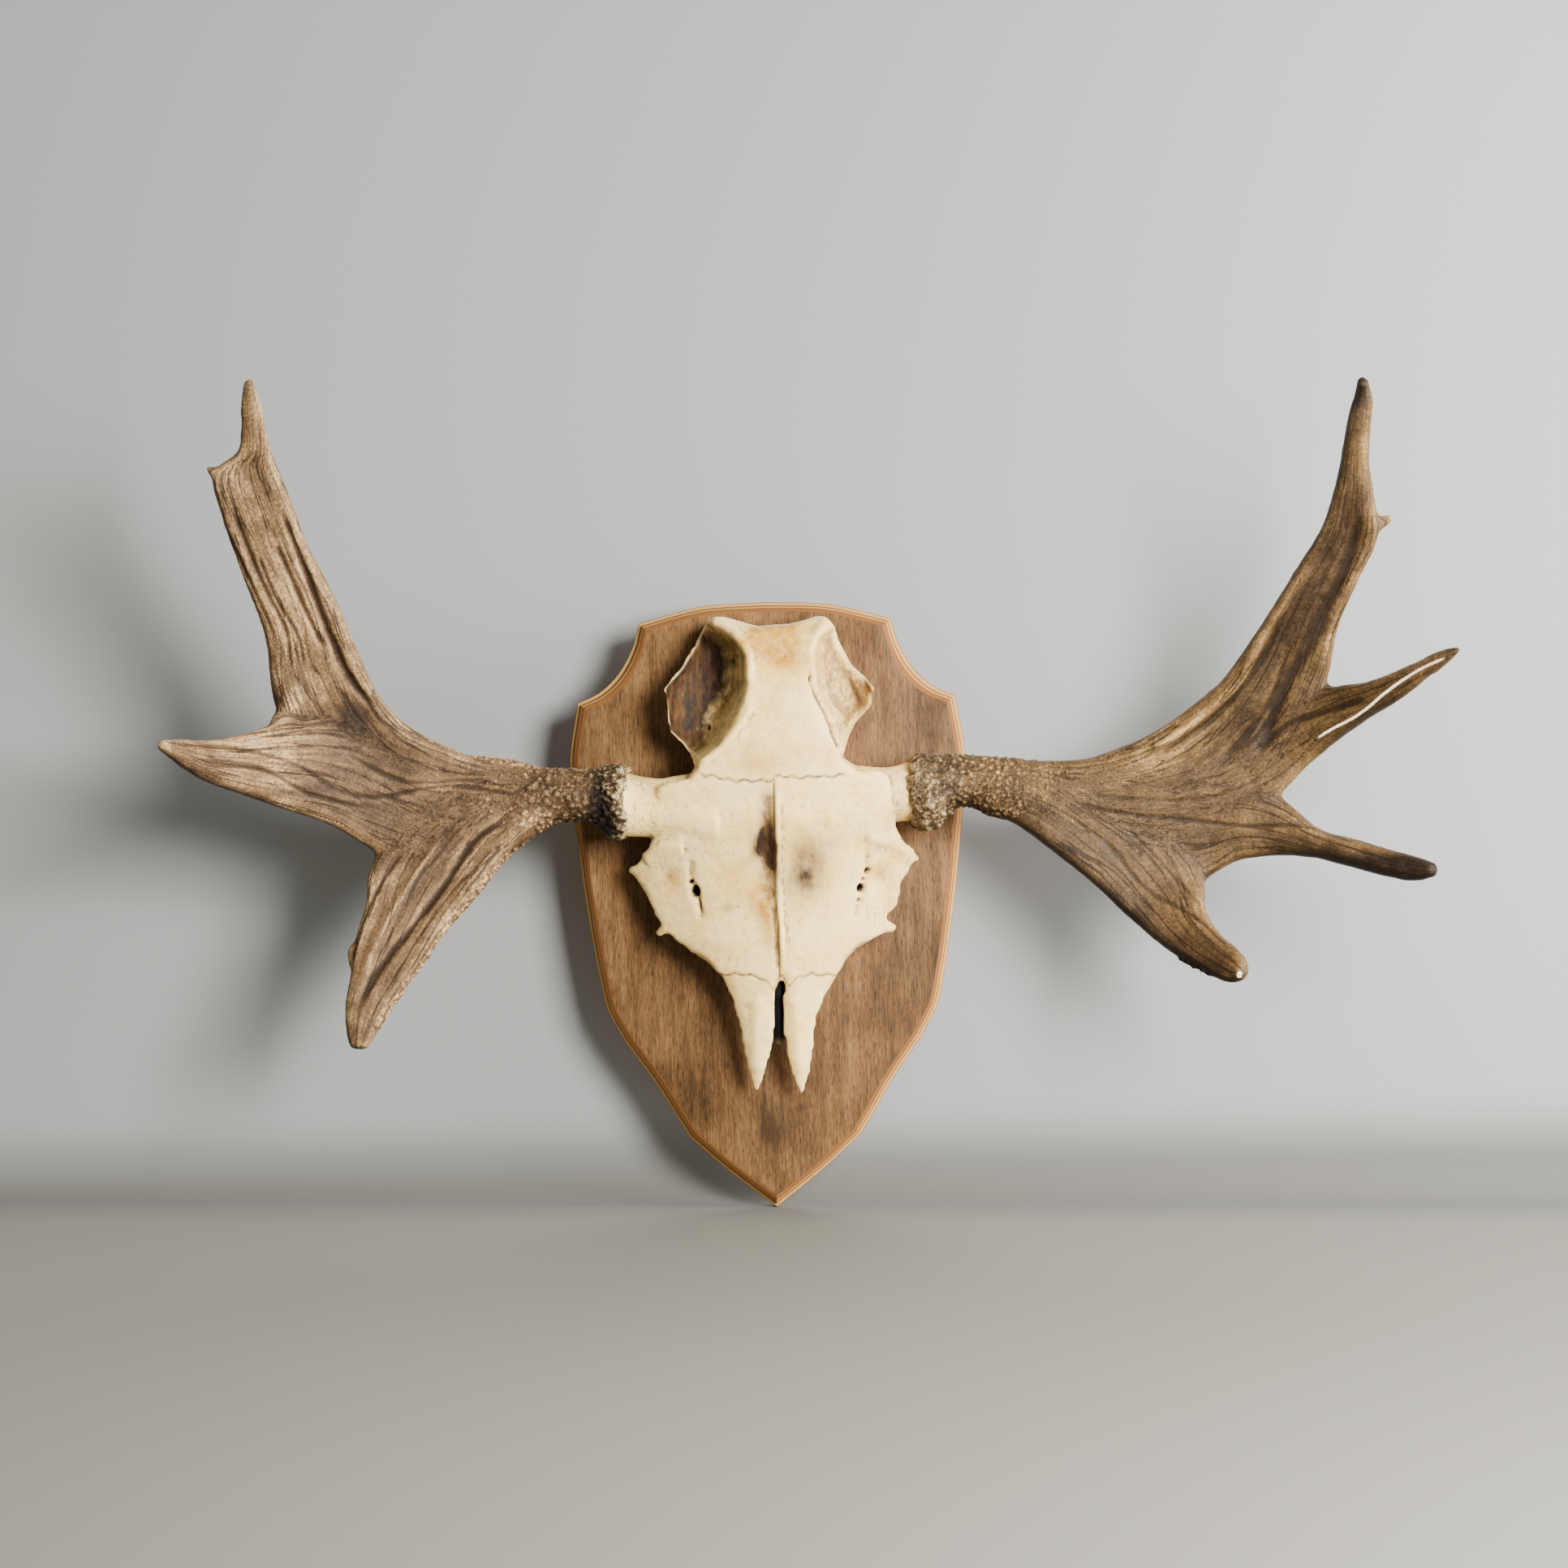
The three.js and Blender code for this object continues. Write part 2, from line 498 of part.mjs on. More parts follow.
function mounting() {
  const screws = Object.entries(SKULL_SCREW_PLACES).map(([name, [x, z]]) => [name, [x + SKULL_OFFSET_X, z]]);
  const hangerHoles = [hangerPocket(), hangerScrewHole(1), hangerScrewHole(-1)];
  const screwHoles = screws.map(([, place]) => skullScrewHole(place));
  return [
    piece("shield_board", cut(boardBlank(), [...hangerHoles, ...screwHoles]), WOOD),
    piece("hanger_plate", hangerPlate(), STEEL),
    piece("hanger_screw_upper", hangerScrewShape(1, 0), STEEL),
    piece("hanger_screw_lower", hangerScrewShape(-1, 0), STEEL),
    ...screws.map(([name, place]) => piece(name, skullScrewShape(place, 0), STEEL)),
  ];
}

const skullAndAntlers = new THREE.Group();
skullAndAntlers.add(...skullBones(), ...leftAntler(), ...rightAntler());
skullAndAntlers.position.x = SKULL_OFFSET_X;

const trophy = new THREE.Group();
trophy.add(...mounting(), skullAndAntlers);

export default trophy;
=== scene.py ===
"""The looks of a moose trophy: palmate antlers on a sawn skull cap, screwed to a shield-shaped plywood board.

Lengths are in millimetres in the CAD frame, and meshes are made in metres. +Z is up, the trophy looks along
-Y, and the board's back lies at Y = 0. Left and right are those of a person who stands in front of it.
"""

import logging
import math
from collections.abc import Callable, Sequence
from dataclasses import dataclass, field
from enum import Enum

import bmesh
import bpy
import numpy as np
from mathutils import Matrix, Vector
from mathutils.kdtree import KDTree


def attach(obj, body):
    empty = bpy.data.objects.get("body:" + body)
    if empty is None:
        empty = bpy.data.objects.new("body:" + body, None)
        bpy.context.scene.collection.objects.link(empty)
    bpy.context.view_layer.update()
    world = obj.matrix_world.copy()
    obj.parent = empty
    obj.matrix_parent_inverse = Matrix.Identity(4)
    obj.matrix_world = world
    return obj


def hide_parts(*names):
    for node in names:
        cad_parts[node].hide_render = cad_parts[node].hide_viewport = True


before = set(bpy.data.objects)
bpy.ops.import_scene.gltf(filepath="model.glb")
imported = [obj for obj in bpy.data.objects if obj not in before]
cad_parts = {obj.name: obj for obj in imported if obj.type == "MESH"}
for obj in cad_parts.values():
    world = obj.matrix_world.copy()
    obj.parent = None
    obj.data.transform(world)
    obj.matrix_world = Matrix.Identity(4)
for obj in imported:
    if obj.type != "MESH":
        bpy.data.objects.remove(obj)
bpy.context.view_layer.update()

log = logging.getLogger("trophy")

MM = 0.001
BODY = "root"

BOARD_FRONT = -18.0
SKULL_OFFSET_X = 3.5  # the skull is screwed on a little right of the board's middle
FLOOR_Z = -211.0

Point = tuple[float, float]
Spot = tuple[float, float, float]
Ball = tuple[float, float, float, float]
Spacing = tuple[float, float, float]
Socket = bpy.types.NodeSocket
Shell = bmesh.types.BMesh


class Facing(Enum):
    """Which sides of a piece a mark is cut into."""

    FRONT = -1
    BOTH = 0


# ---------------------------------------------------------------- numbers


def smoothstep(values: np.ndarray, start: float, end: float) -> np.ndarray:
    """Rises smoothly from 0 at start to 1 at end; end may lie below start.

    Args:
        values: What to compare with the two limits.
        start: Where the rise begins.
        end: Where it is complete.

    Returns:
        Numbers from 0 to 1, one for each value.
    """
    share = np.clip((values - start) / (end - start), 0.0, 1.0)
    return share * share * (3.0 - 2.0 * share)


def smooth_rows(rows: Sequence[Sequence[float]], step: float) -> np.ndarray:
    """Rows about a step apart on the smooth curve through some given rows.

    Args:
        rows: Cross-sections or points, whose distance apart is taken over all their numbers.
        step: Millimetres between the rows wanted.

    Returns:
        One row of numbers for each place on the curve.
    """
    given = np.array(rows, float)
    reach = np.concatenate([[0.0], np.cumsum(np.linalg.norm(np.diff(given, axis=0), axis=1) ** 0.75)])
    slope = np.gradient(given, reach, axis=0)
    length = np.linalg.norm(np.diff(given, axis=0), axis=1).sum()
    place = np.linspace(0.0, reach[-1], max(4, int(length / step)))
    span = np.clip(np.searchsorted(reach, place, side="right") - 1, 0, len(reach) - 2)
    width = (reach[span + 1] - reach[span])[:, None]
    t = (place - reach[span])[:, None] / width
    return (
        given[span] * (2 * t**3 - 3 * t**2 + 1)
        + given[span + 1] * (3 * t**2 - 2 * t**3)
        + slope[span] * width * (t**3 - 2 * t**2 + t)
        + slope[span + 1] * width * (t**3 - t**2)
    )


def read_table(table: Sequence[Point], places: np.ndarray) -> np.ndarray:
    """Values at places, from a table of [place, value] that runs straight from row to row."""
    return np.interp(places, *zip(*table))


def nearest(points: np.ndarray, spots: Sequence[np.ndarray]) -> tuple[np.ndarray, np.ndarray]:
    """Which spot each point is nearest to.

    Args:
        points: An array of [x, y, z].
        spots: Places in the same terms.

    Returns:
        The spots' numbers and the distances, one of each for each point.
    """
    tree = KDTree(len(spots))
    for number, spot in enumerate(spots):
        tree.insert(spot, number)
    tree.balance()
    found = [tree.find(point) for point in points]
    return np.array([hit[1] for hit in found]), np.array([hit[2] for hit in found])


def distance_to_line(points: np.ndarray, line: Sequence[Point]) -> tuple[np.ndarray, np.ndarray]:
    """How far points lie from an open line of straight pieces, and how far along it.

    Args:
        points: An array of [x, z].
        line: The line's corners.

    Returns:
        The distances, and the shares of the line's length, from 0 to 1.
    """
    corners = np.array(line, float)
    lengths = np.linalg.norm(np.diff(corners, axis=0), axis=1)
    before = np.concatenate([[0.0], np.cumsum(lengths)])
    best = np.full(len(points), np.inf)
    along = np.zeros(len(points))
    for start, end, length, so_far in zip(corners[:-1], corners[1:], lengths, before):
        share = np.clip((points - start) @ (end - start) / length**2, 0.0, 1.0)
        gap = np.linalg.norm(points - start - share[:, None] * (end - start), axis=1)
        nearer = gap < best
        best[nearer] = gap[nearer]
        along[nearer] = (so_far + share[nearer] * length) / before[-1]
    return best, along


class Lattice:
    """Smooth random waves, the same on each run, from a fixed block of random numbers."""

    SIZE = 32
    LAYER_SHIFT = 7.3  # keeps the layers from lining up
    LAYER_SUM = 1.6  # what the layers' heights are divided by

    def __init__(self, seed: int) -> None:
        """Fills the block.

        Args:
            seed: Which block of numbers to draw.
        """
        self.block = np.random.default_rng(seed).uniform(-1.0, 1.0, (self.SIZE,) * 3)

    def at(self, points: np.ndarray) -> np.ndarray:
        """One layer of waves.

        Args:
            points: An array of [x, y, z], where 1 is the waves' spacing.

        Returns:
            Heights from -1 to 1.
        """
        low = np.floor(points).astype(int)
        part = points - low
        part = part * part * (3.0 - 2.0 * part)
        total = np.zeros(len(points))
        for corner in np.ndindex(2, 2, 2):
            share = np.prod(np.where(corner, part, 1.0 - part), axis=1)
            total += share * self.block[tuple(((low + corner) % self.SIZE).T)]
        return total

    def layered(self, points: np.ndarray, layers: int) -> np.ndarray:
        """Waves on waves, each layer half as high and half as long as the one before.

        Args:
            points: An array of [x, y, z], where 1 is the longest wave's spacing.
            layers: How many layers to add up.

        Returns:
            Heights of about -1 to 1.
        """
        heights = (self.at(points * 2.0**n + self.LAYER_SHIFT * n) / 2.0**n for n in range(layers))
        return sum(heights) / self.LAYER_SUM


# ---------------------------------------------------------------- shells and skins


def mesh_of(name: str, shell: Shell) -> bpy.types.Mesh:
    """The mesh of a shell, which is used up.

    Args:
        name: The mesh's name.
        shell: The shell.

    Returns:
        The mesh.
    """
    mesh = bpy.data.meshes.new(name)
    shell.to_mesh(mesh)
    shell.free()
    return mesh


def placed(name: str, data: bpy.types.ID) -> bpy.types.Object:
    """Puts a mesh, light or camera into the scene.

    Args:
        name: The object's name.
        data: What it shows.

    Returns:
        The object.
    """
    thing = bpy.data.objects.new(name, data)
    bpy.context.scene.collection.objects.link(thing)
    return thing


def tube(rings: np.ndarray) -> Shell:
    """A closed tube through rings of points, made by drawing out the edges of the first.

    Args:
        rings: Points as [ring, place in the ring, xyz], in millimetres.

    Returns:
        The tube.
    """
    shell = bmesh.new()
    verts = bmesh.ops.create_circle(shell, cap_ends=True, segments=rings.shape[1], radius=1.0)["verts"]
    for vert, spot in zip(verts, rings[0]):
        vert.co = Vector(spot) * MM
    place = {vert: j for j, vert in enumerate(verts)}
    edges = list(shell.edges)
    for ring in rings[1:]:
        made = bmesh.ops.extrude_edge_only(shell, edges=edges)["geom"]
        edges = [part for part in made if isinstance(part, bmesh.types.BMEdge)]
        fresh = [part for part in made if isinstance(part, bmesh.types.BMVert)]
        olds = [next(e.other_vert(v) for e in v.link_edges if e.other_vert(v) in place) for v in fresh]
        place = {vert: place[old] for vert, old in zip(fresh, olds)}
        for vert, j in place.items():
            vert.co = Vector(ring[j]) * MM
    bmesh.ops.contextual_create(shell, geom=edges)
    return shell


def merged(shells: Sequence[Shell]) -> Shell:
    """Puts shells into one mesh.

    Args:
        shells: The shells, which are used up.

    Returns:
        The mesh.
    """
    whole = bmesh.new()
    for shell in shells:
        bmesh.ops.recalc_face_normals(shell, faces=shell.faces)
        part = mesh_of("part", shell)
        whole.from_mesh(part)
        bpy.data.meshes.remove(part)
    return whole


def beads(spots: Sequence[Sequence[float]]) -> Shell:
    """Balls in one mesh.

    Args:
        spots: [x, y, z, radius] of each, in millimetres.

    Returns:
        The mesh.
    """
    shell = bmesh.new()
    for *spot, radius in spots:
        matrix = Matrix.Translation(Vector(spot) * MM)
        bmesh.ops.create_icosphere(shell, subdivisions=2, radius=radius * MM, matrix=matrix)
    return shell


def evaluated_shell(shell: Shell, add_modifier: Callable[[bpy.types.Object], None]) -> Shell:
    """What a modifier makes of a mesh.

    Args:
        shell: The mesh, which is used up.
        add_modifier: Adds and sets the modifier on an object that has the mesh.

    Returns:
        A new mesh.
    """
    bmesh.ops.recalc_face_normals(shell, faces=shell.faces)
    mesh = mesh_of("shell", shell)
    holder = placed("shell", mesh)
    add_modifier(holder)
    final = holder.evaluated_get(bpy.context.evaluated_depsgraph_get())
    result = bmesh.new()
    result.from_mesh(final.to_mesh())
    final.to_mesh_clear()
    bpy.data.objects.remove(holder)
    bpy.data.meshes.remove(mesh)
    return result


def fused(shell: Shell, spacing: float) -> Shell:
    """Fuses shells that run into each other into one skin of even faces.

    Args:
        shell: Closed shells, used up.
        spacing: Millimetres between the new skin's points.

    Returns:
        The skin.
    """

    def add_remesh(holder: bpy.types.Object) -> None:
        """Adds the remesh that fuses.

        Args:
            holder: The object that gets it.
        """
        remesh = holder.modifiers.new("fuse", "REMESH")
        remesh.mode = "VOXEL"
        remesh.voxel_size = spacing * MM

    return evaluated_shell(shell, add_remesh)


def relax(shell: Shell, rounds: int, tips: Sequence[Sequence[float]] = (), reach: float = 1.0) -> None:
    """Evens a skin out, but for its tips, which would shrink.

    Args:
        shell: The skin.
        rounds: How often to smooth it.
        tips: Points, [x, y, z] in millimetres, to keep.
        reach: How far round each tip nothing changes.
    """
    keep = [Vector(tip) * MM for tip in tips]
    verts = [v for v in shell.verts if all((v.co - tip).length > reach * MM for tip in keep)]
    for _ in range(rounds):
        bmesh.ops.smooth_vert(
            shell, verts=verts, factor=0.5, use_axis_x=True, use_axis_y=True, use_axis_z=True
        )


class Skin:
    """A mesh whose points are worked on as arrays, in millimetres."""

    def __init__(self, name: str, shell: Shell) -> None:
        """Takes over a shell.

        Args:
            name: The mesh's name.
            shell: The shell, which is used up.
        """
        for face in shell.faces:
            face.smooth = True
        self.mesh = mesh_of(name, shell)
        self.read()

    def read(self) -> None:
        """Reads the points and normals from the mesh."""
        flat = np.empty(3 * len(self.mesh.vertices))
        self.mesh.vertices.foreach_get("co", flat)
        self.points = flat.reshape(-1, 3) / MM
        normals = np.empty_like(flat)
        self.mesh.vertices.foreach_get("normal", normals)
        self.normals = normals.reshape(-1, 3)

    def raise_by(self, height: np.ndarray) -> None:
        """Moves each point out along its normal.

        Args:
            height: How far, for each point.
        """
        moved = (self.points + self.normals * height[:, None]) * MM
        self.mesh.vertices.foreach_set("co", moved.ravel())
        self.mesh.update()
        self.read()

    def smoothed(self, values: np.ndarray, rounds: int) -> np.ndarray:
        """Values at the points, each averaged with its neighbours some times over.

        Args:
            values: One number or one row of numbers for each point.
            rounds: How often.

        Returns:
            The averages.
        """
        ends = np.empty(2 * len(self.mesh.edges), np.int32)
        self.mesh.edges.foreach_get("vertices", ends)
        near, far = np.concatenate([ends.reshape(-1, 2), ends.reshape(-1, 2)[:, ::-1]]).T
        count = np.bincount(near, minlength=len(values))
        columns = np.array(values, float).reshape(len(values), -1)
        for _ in range(rounds):
            totals = [np.bincount(near, column[far], minlength=len(values)) for column in columns.T]
            columns = 0.5 * columns + 0.5 * np.stack(totals, axis=1) / count[:, None]
        return columns.reshape(np.shape(values))

    def hollowness(self, rounds: int) -> np.ndarray:
        """How far each point lies below the average of what is round it, in millimetres."""
        return ((self.smoothed(self.points, rounds) - self.points) * self.normals).sum(axis=1)

    def shift(self, x: float) -> None:
        """Moves the whole skin sideways."""
        self.mesh.transform(Matrix.Translation((x * MM, 0.0, 0.0)))
        self.read()

    def store(self, name: str, values: np.ndarray) -> None:
        """Keeps one number for each point, for the material to read."""
        layer = self.mesh.attributes.new(name, "FLOAT", "POINT")
        layer.data.foreach_set("value", values.astype(np.float32))

    def store_vectors(self, name: str, values: np.ndarray) -> None:
        """Keeps three numbers for each point, for the material to read."""
        layer = self.mesh.attributes.new(name, "FLOAT_VECTOR", "POINT")
        layer.data.foreach_set("vector", values.astype(np.float32).ravel())


@dataclass(frozen=True)
class Stroke:
    """A groove or ridge drawn along a line on the front or back of a piece.

    Attributes:
        line: [x, z] points in millimetres.
        width: Half the mark's width.
        depth: How deep it goes, or below 0 how high it stands.
        facing: The side that it is on.
    """

    line: tuple[Point, ...]
    width: float
    depth: float
    facing: Facing = Facing.FRONT
    STEP = 6.0  # mm between the points of the smooth line
    FADE = 0.12  # share of the line over which it fades out at each end

    def strength(self, skin: Skin, waver: np.ndarray | None = None) -> np.ndarray:
        """How fully each point of a skin lies in the mark, fading out at the line's ends.

        Args:
            skin: The skin that is marked.
            waver: Millimetres by which to shift the line's distance, so that it wanders.

        Returns:
            Numbers from 0 to 1.
        """
        smooth = self.line
        if len(smooth) > 2:
            smooth = [tuple(row) for row in smooth_rows(self.line, self.STEP)]
        gap, along = distance_to_line(skin.points[:, [0, 2]], smooth)
        if waver is not None:
            gap = np.abs(gap + waver)
        ends = smoothstep(along, 0.0, self.FADE) * smoothstep(along, 1.0, 1.0 - self.FADE)
        side = 1.0
        if self.facing is not Facing.BOTH:
            side = smoothstep(skin.normals[:, 1] * self.facing.value, -0.05, 0.3)
        return np.exp(-((gap / self.width) ** 2)) * ends * side


@dataclass(frozen=True)
class Patch:
    """A stained, worn or hollow place, or one of painted shade or light, of an oval shape, seen from the
    front.

    Attributes:
        centre: [x, z] in millimetres.
        radii: Half its width and half its height.
        strength: From 0 to 1, or a depth in millimetres.
        turn: How far the oval is turned, in degrees, counterclockwise.
    """

    centre: Point
    radii: Point
    strength: float
    turn: float = 0.0

    def at(self, points: np.ndarray, ragged: np.ndarray | float = 0.0) -> np.ndarray:
        """How strong the patch is at points.

        Args:
            points: An array of [x, y, z].
            ragged: Pushes the edge in and out, as a share of the radius.

        Returns:
            Numbers from 0 to the patch's strength.
        """
        angle = math.radians(self.turn)
        dx = points[:, 0] - self.centre[0]
        dz = points[:, 2] - self.centre[1]
        across = (dx * math.cos(angle) + dz * math.sin(angle)) / self.radii[0]
        along = (dz * math.cos(angle) - dx * math.sin(angle)) / self.radii[1]
        return self.strength * np.exp(-np.maximum(0.0, np.hypot(across, along) + ragged) ** 2)


def patches(*rows: Sequence[float]) -> tuple[Patch, ...]:
    """Patches from rows of x, z, half-width, half-height, strength and, where it isn't 0, turn."""
    return tuple(Patch(row[:2], row[2:4], *row[4:]) for row in rows)


def total(marks: Sequence[Patch], points: np.ndarray, ragged: np.ndarray | float = 0.0) -> np.ndarray:
    """How strong some patches are together, at each of some points.

    Args:
        marks: The patches, or none.
        points: An array of [x, y, z].
        ragged: As for one patch.

    Returns:
        One number for each point.
    """
    return sum((mark.at(points, ragged) for mark in marks), np.zeros(len(points)))


def add_piece(
    name: str, mesh: bpy.types.Mesh, material: bpy.types.Material, nodes: Sequence[str]
) -> None:
    """Makes a mesh a piece of the trophy.

    Args:
        name: The piece's name.
        mesh: Its mesh, in place.
        material: Its finish.
        nodes: The CAD nodes that it stands for.
    """
    mesh.materials.append(material)
    piece = placed(name, mesh)
    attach(piece, BODY)
    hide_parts(*nodes)
    log.info("%s: %d faces", name, len(mesh.polygons))


# ---------------------------------------------------------------- finishes


def linear(hex_colour: str) -> tuple[float, float, float, float]:
    """A colour written as sRGB hex, as the linear numbers that a shader takes."""
    parts = [int(hex_colour[i : i + 2], 16) / 255.0 for i in (1, 3, 5)]
    red, green, blue = (p / 12.92 if p <= 0.04045 else ((p + 0.055) / 1.055) ** 2.4 for p in parts)
    return red, green, blue, 1.0


def add_node(
    tree: bpy.types.NodeTree, kind: str, inputs: dict[str | int, object] | None = None, **settings: object
) -> bpy.types.Node:
    """Adds a shader node with its settings and links.

    Args:
        tree: The material's nodes.
        kind: The node's type, without the leading "ShaderNode".
        inputs: A value, or a socket to link from, for each input's name or number.
        **settings: Properties of the node itself.

    Returns:
        The node.
    """
    node = tree.nodes.new("ShaderNode" + kind)
    for key, value in settings.items():
        setattr(node, key, value)
    for key, value in (inputs or {}).items():
        if isinstance(value, Socket):
            tree.links.new(value, node.inputs[key])
        else:
            node.inputs[key].default_value = value
    return node


class Surface:
    """A material that is put together from an object's coordinates, its attributes and noise."""

    def __init__(self, name: str) -> None:
        """Starts an empty material.

        Args:
            name: What the real material is.
        """
        self.material = bpy.data.materials.new(name)
        self.material.use_nodes = True
        self.tree = self.material.node_tree
        self.tree.nodes.clear()
        self.place = add_node(self.tree, "TexCoord").outputs["Object"]

    def attribute(self, name: str) -> Socket:
        """The number that each point of the mesh keeps under a name."""
        return add_node(self.tree, "Attribute", attribute_name=name).outputs["Fac"]

    def stretched(self, spacing: Sequence[float], source: Socket | None = None) -> Socket:
        """Coordinates in which 1 is a given number of millimetres along each axis.

        Args:
            spacing: Millimetres along X, Y and Z.
            source: Coordinates in metres to start from, instead of the object's.

        Returns:
            The socket with the coordinates.
        """
        scale = tuple(1.0 / (MM * length) for length in spacing)
        return add_node(
            self.tree, "Mapping", {"Vector": source or self.place, "Scale": scale}, vector_type="POINT"
        ).outputs["Vector"]

    def waves(self, coordinates: Socket, detail: float = 3.0, roughness: float = 0.55) -> Socket:
        """Noise from 0 to 1 whose longest waves are one unit of the coordinates."""
        inputs = {"Vector": coordinates, "Scale": 1.0, "Detail": detail, "Roughness": roughness}
        return add_node(self.tree, "TexNoise", inputs).outputs["Fac"]

    def math(self, operation: str, *values: Socket | float) -> Socket:
        """The result of one operation on some values."""
        return add_node(self.tree, "Math", dict(enumerate(values)), operation=operation).outputs[0]

    def sum(self, *terms: tuple[Socket | float, float]) -> Socket:
        """Adds up terms.

        Args:
            *terms: Each a socket or number, and the factor that it counts with.

        Returns:
            Their sum.
        """
        total: Socket | float = 0.0
        for value, factor in terms:
            total = self.math("MULTIPLY_ADD", value, factor, total)
        return total

    def stretch(self, value: Socket, start: float, end: float) -> Socket:
        """Rises smoothly from 0, where the value is start, to 1, where it is end."""
        inputs = {"Value": value, "From Min": start, "From Max": end}
        return add_node(self.tree, "MapRange", inputs, interpolation_type="SMOOTHSTEP").outputs["Result"]

    def times(self, a: Socket | float, b: Socket | float) -> Socket:
        """The product of two numbers."""
        return self.math("MULTIPLY", a, b)

    def ramp(self, value: Socket, stops: Sequence[tuple[float, str]], kind: str = "LINEAR") -> Socket:
        """A colour that runs through stops.

        Args:
            value: What it depends on.
            stops: Each a place from 0 to 1 and a hex colour.
            kind: How it runs from stop to stop.

        Returns:
            The colour.
        """
        node = add_node(self.tree, "ValToRGB", {"Fac": value})
        node.color_ramp.interpolation = kind
        elements = node.color_ramp.elements
        while len(elements) < len(stops):
            elements.new(0.5)
        for element, (place, colour) in zip(elements, stops):
            element.position = place
            element.color = linear(colour)
        return node.outputs["Color"]

    def over(self, below: str | Socket, above: str | Socket, share: Socket) -> Socket:
        """Lays a colour over another.

        Args:
            below: The colour so far, as hex or a socket.
            above: The colour that is laid over it.
            share: How much of the upper one shows, from 0 to 1.

        Returns:
            The mixed colour.
        """
        bottom, top = (linear(colour) if isinstance(colour, str) else colour for colour in (below, above))
        return add_node(self.tree, "Mix", {0: share, 6: bottom, 7: top}, data_type="RGBA").outputs[2]

    def finish(
        self, colour: Socket, roughness: Socket, height: Socket, relief: float, **shader: float
    ) -> bpy.types.Material:
        """Ends the material with its shader.

        Args:
            colour: The base colour.
            roughness: The roughness.
            height: The fine relief, from 0 to 1.
            relief: How many millimetres the relief's 0 to 1 stands for.
            **shader: Constants for the shader's sockets, with underscores for spaces.

        Returns:
            The material.
        """
        bump = add_node(self.tree, "Bump", {"Height": height, "Distance": relief * MM, "Strength": 1.0})
        inputs = {"Base Color": colour, "Roughness": roughness, "Normal": bump.outputs["Normal"]}
        inputs |= {name.replace("_", " "): value for name, value in shader.items()}
        shader_node = add_node(self.tree, "BsdfPrincipled", inputs)
        add_node(self.tree, "OutputMaterial", {"Surface": shader_node.outputs["BSDF"]})
        return self.material


@dataclass(frozen=True)
class AntlerFinish:
    """Dry, uncleaned antler: brown where sap and soil stained it, tan on worn ridges with painted highlight,
    dark in the grooves, with painted shade in hollows and on undersides.
    """

    name: str
    groove: str = "#1f1307"
    brown: str = "#45321e"
    tan: str = "#715637"
    pale: str = "#c3a071"
    bleached: str = "#ecd9b4"
    # near black, for the dark tips and for painted shade
    dark_tips_and_shade: str = "#0d0603"
    crust_dark: str = "#1a120a"
    crust_mid: str = "#4d3a22"
    crust_light: str = "#d4bc8a"
    gloss: float = 0.55  # roughness of the smooth parts
    streak: Spacing = (1.2, 30.0, 4.0)  # mm between the finest vessel lines across, along and round
    vessel: Spacing = (5.0, 110.0, 12.0)  # the same for the dark vessel lines
    mottle: float = 15.0  # mm between the cloudy stains
    speck: float = 1.9  # mm between the specks
    bead: float = 2.3  # mm between the smallest pearls

    def material(self) -> bpy.types.Material:
        """Reads tone, furrow, beam, worn, dark_and_shade, crust and grain from the mesh; tone and
        dark_and_shade carry painted shade and light besides the antler's own colour.

        Returns:
            The material.
        """
        s = Surface(self.name)
        grain = add_node(s.tree, "Attribute", attribute_name="grain").outputs["Vector"]
        streaks = s.waves(s.stretched(self.streak, grain), 4.0, 0.65)
        vessels = s.waves(s.stretched(self.vessel, grain), 2.0, 0.45)
        from_middle = s.sum((vessels, 1.0), (-0.5, 1.0))
        off_middle = s.math("ABSOLUTE", from_middle)
        line = s.times(s.stretch(off_middle, 0.03, 0.006), s.stretch(streaks, 0.34, 0.5))
        clouds = s.waves(s.stretched((self.mottle,) * 3), 3.0)
        specks = s.waves(s.stretched((self.speck,) * 3), 4.0, 0.75)
        beads_apart = {"Vector": s.stretched((self.bead,) * 3), "Scale": 1.0}
        cells = add_node(s.tree, "TexVoronoi", beads_apart).outputs["Distance"]
        bead = s.times(s.stretch(cells, 0.65, 0.15), s.attribute("beam"))
        tone = s.sum(
            (s.attribute("tone"), 1.0), (streaks, 0.6), (clouds, 0.5), (specks, 0.95), (bead, 0.2),
            (-1.06, 1.0),
        )
        colour = s.ramp(tone, [(0.0, self.groove), (0.34, self.brown), (0.64, self.tan), (1.0, self.pale)])
        colour = s.over(colour, self.groove, s.times(s.attribute("furrow"), 0.88))
        off_beam = s.sum((s.attribute("beam"), -0.8), (1.0, 1.0))
        colour = s.over(colour, self.groove, s.times(s.times(line, 0.85), off_beam))
        crust_tone = s.sum((specks, 0.9), (clouds, 0.3), (s.attribute("tone"), 0.35), (-0.3, 1.0))
        crust = s.ramp(crust_tone, [(0.3, self.crust_dark), (0.5, self.crust_mid), (0.72, self.crust_light)])
        colour = s.over(colour, crust, s.attribute("crust"))
        # dark tips and painted shade, nearly black
        colour = s.over(colour, self.dark_tips_and_shade, s.times(s.attribute("dark_and_shade"), 0.92))
        colour = s.over(colour, self.bleached, s.stretch(s.attribute("worn"), 0.45, 0.75))
        roughness = s.sum(
            (specks, 0.2), (s.attribute("furrow"), 0.2), (s.attribute("beam"), 0.12), (self.gloss - 0.1, 1.0)
        )
        height = s.sum((streaks, 0.3), (specks, 0.7), (bead, 0.7), (line, -0.4))
        return s.finish(colour, roughness, height, 0.6, Specular_IOR_Level=0.16)


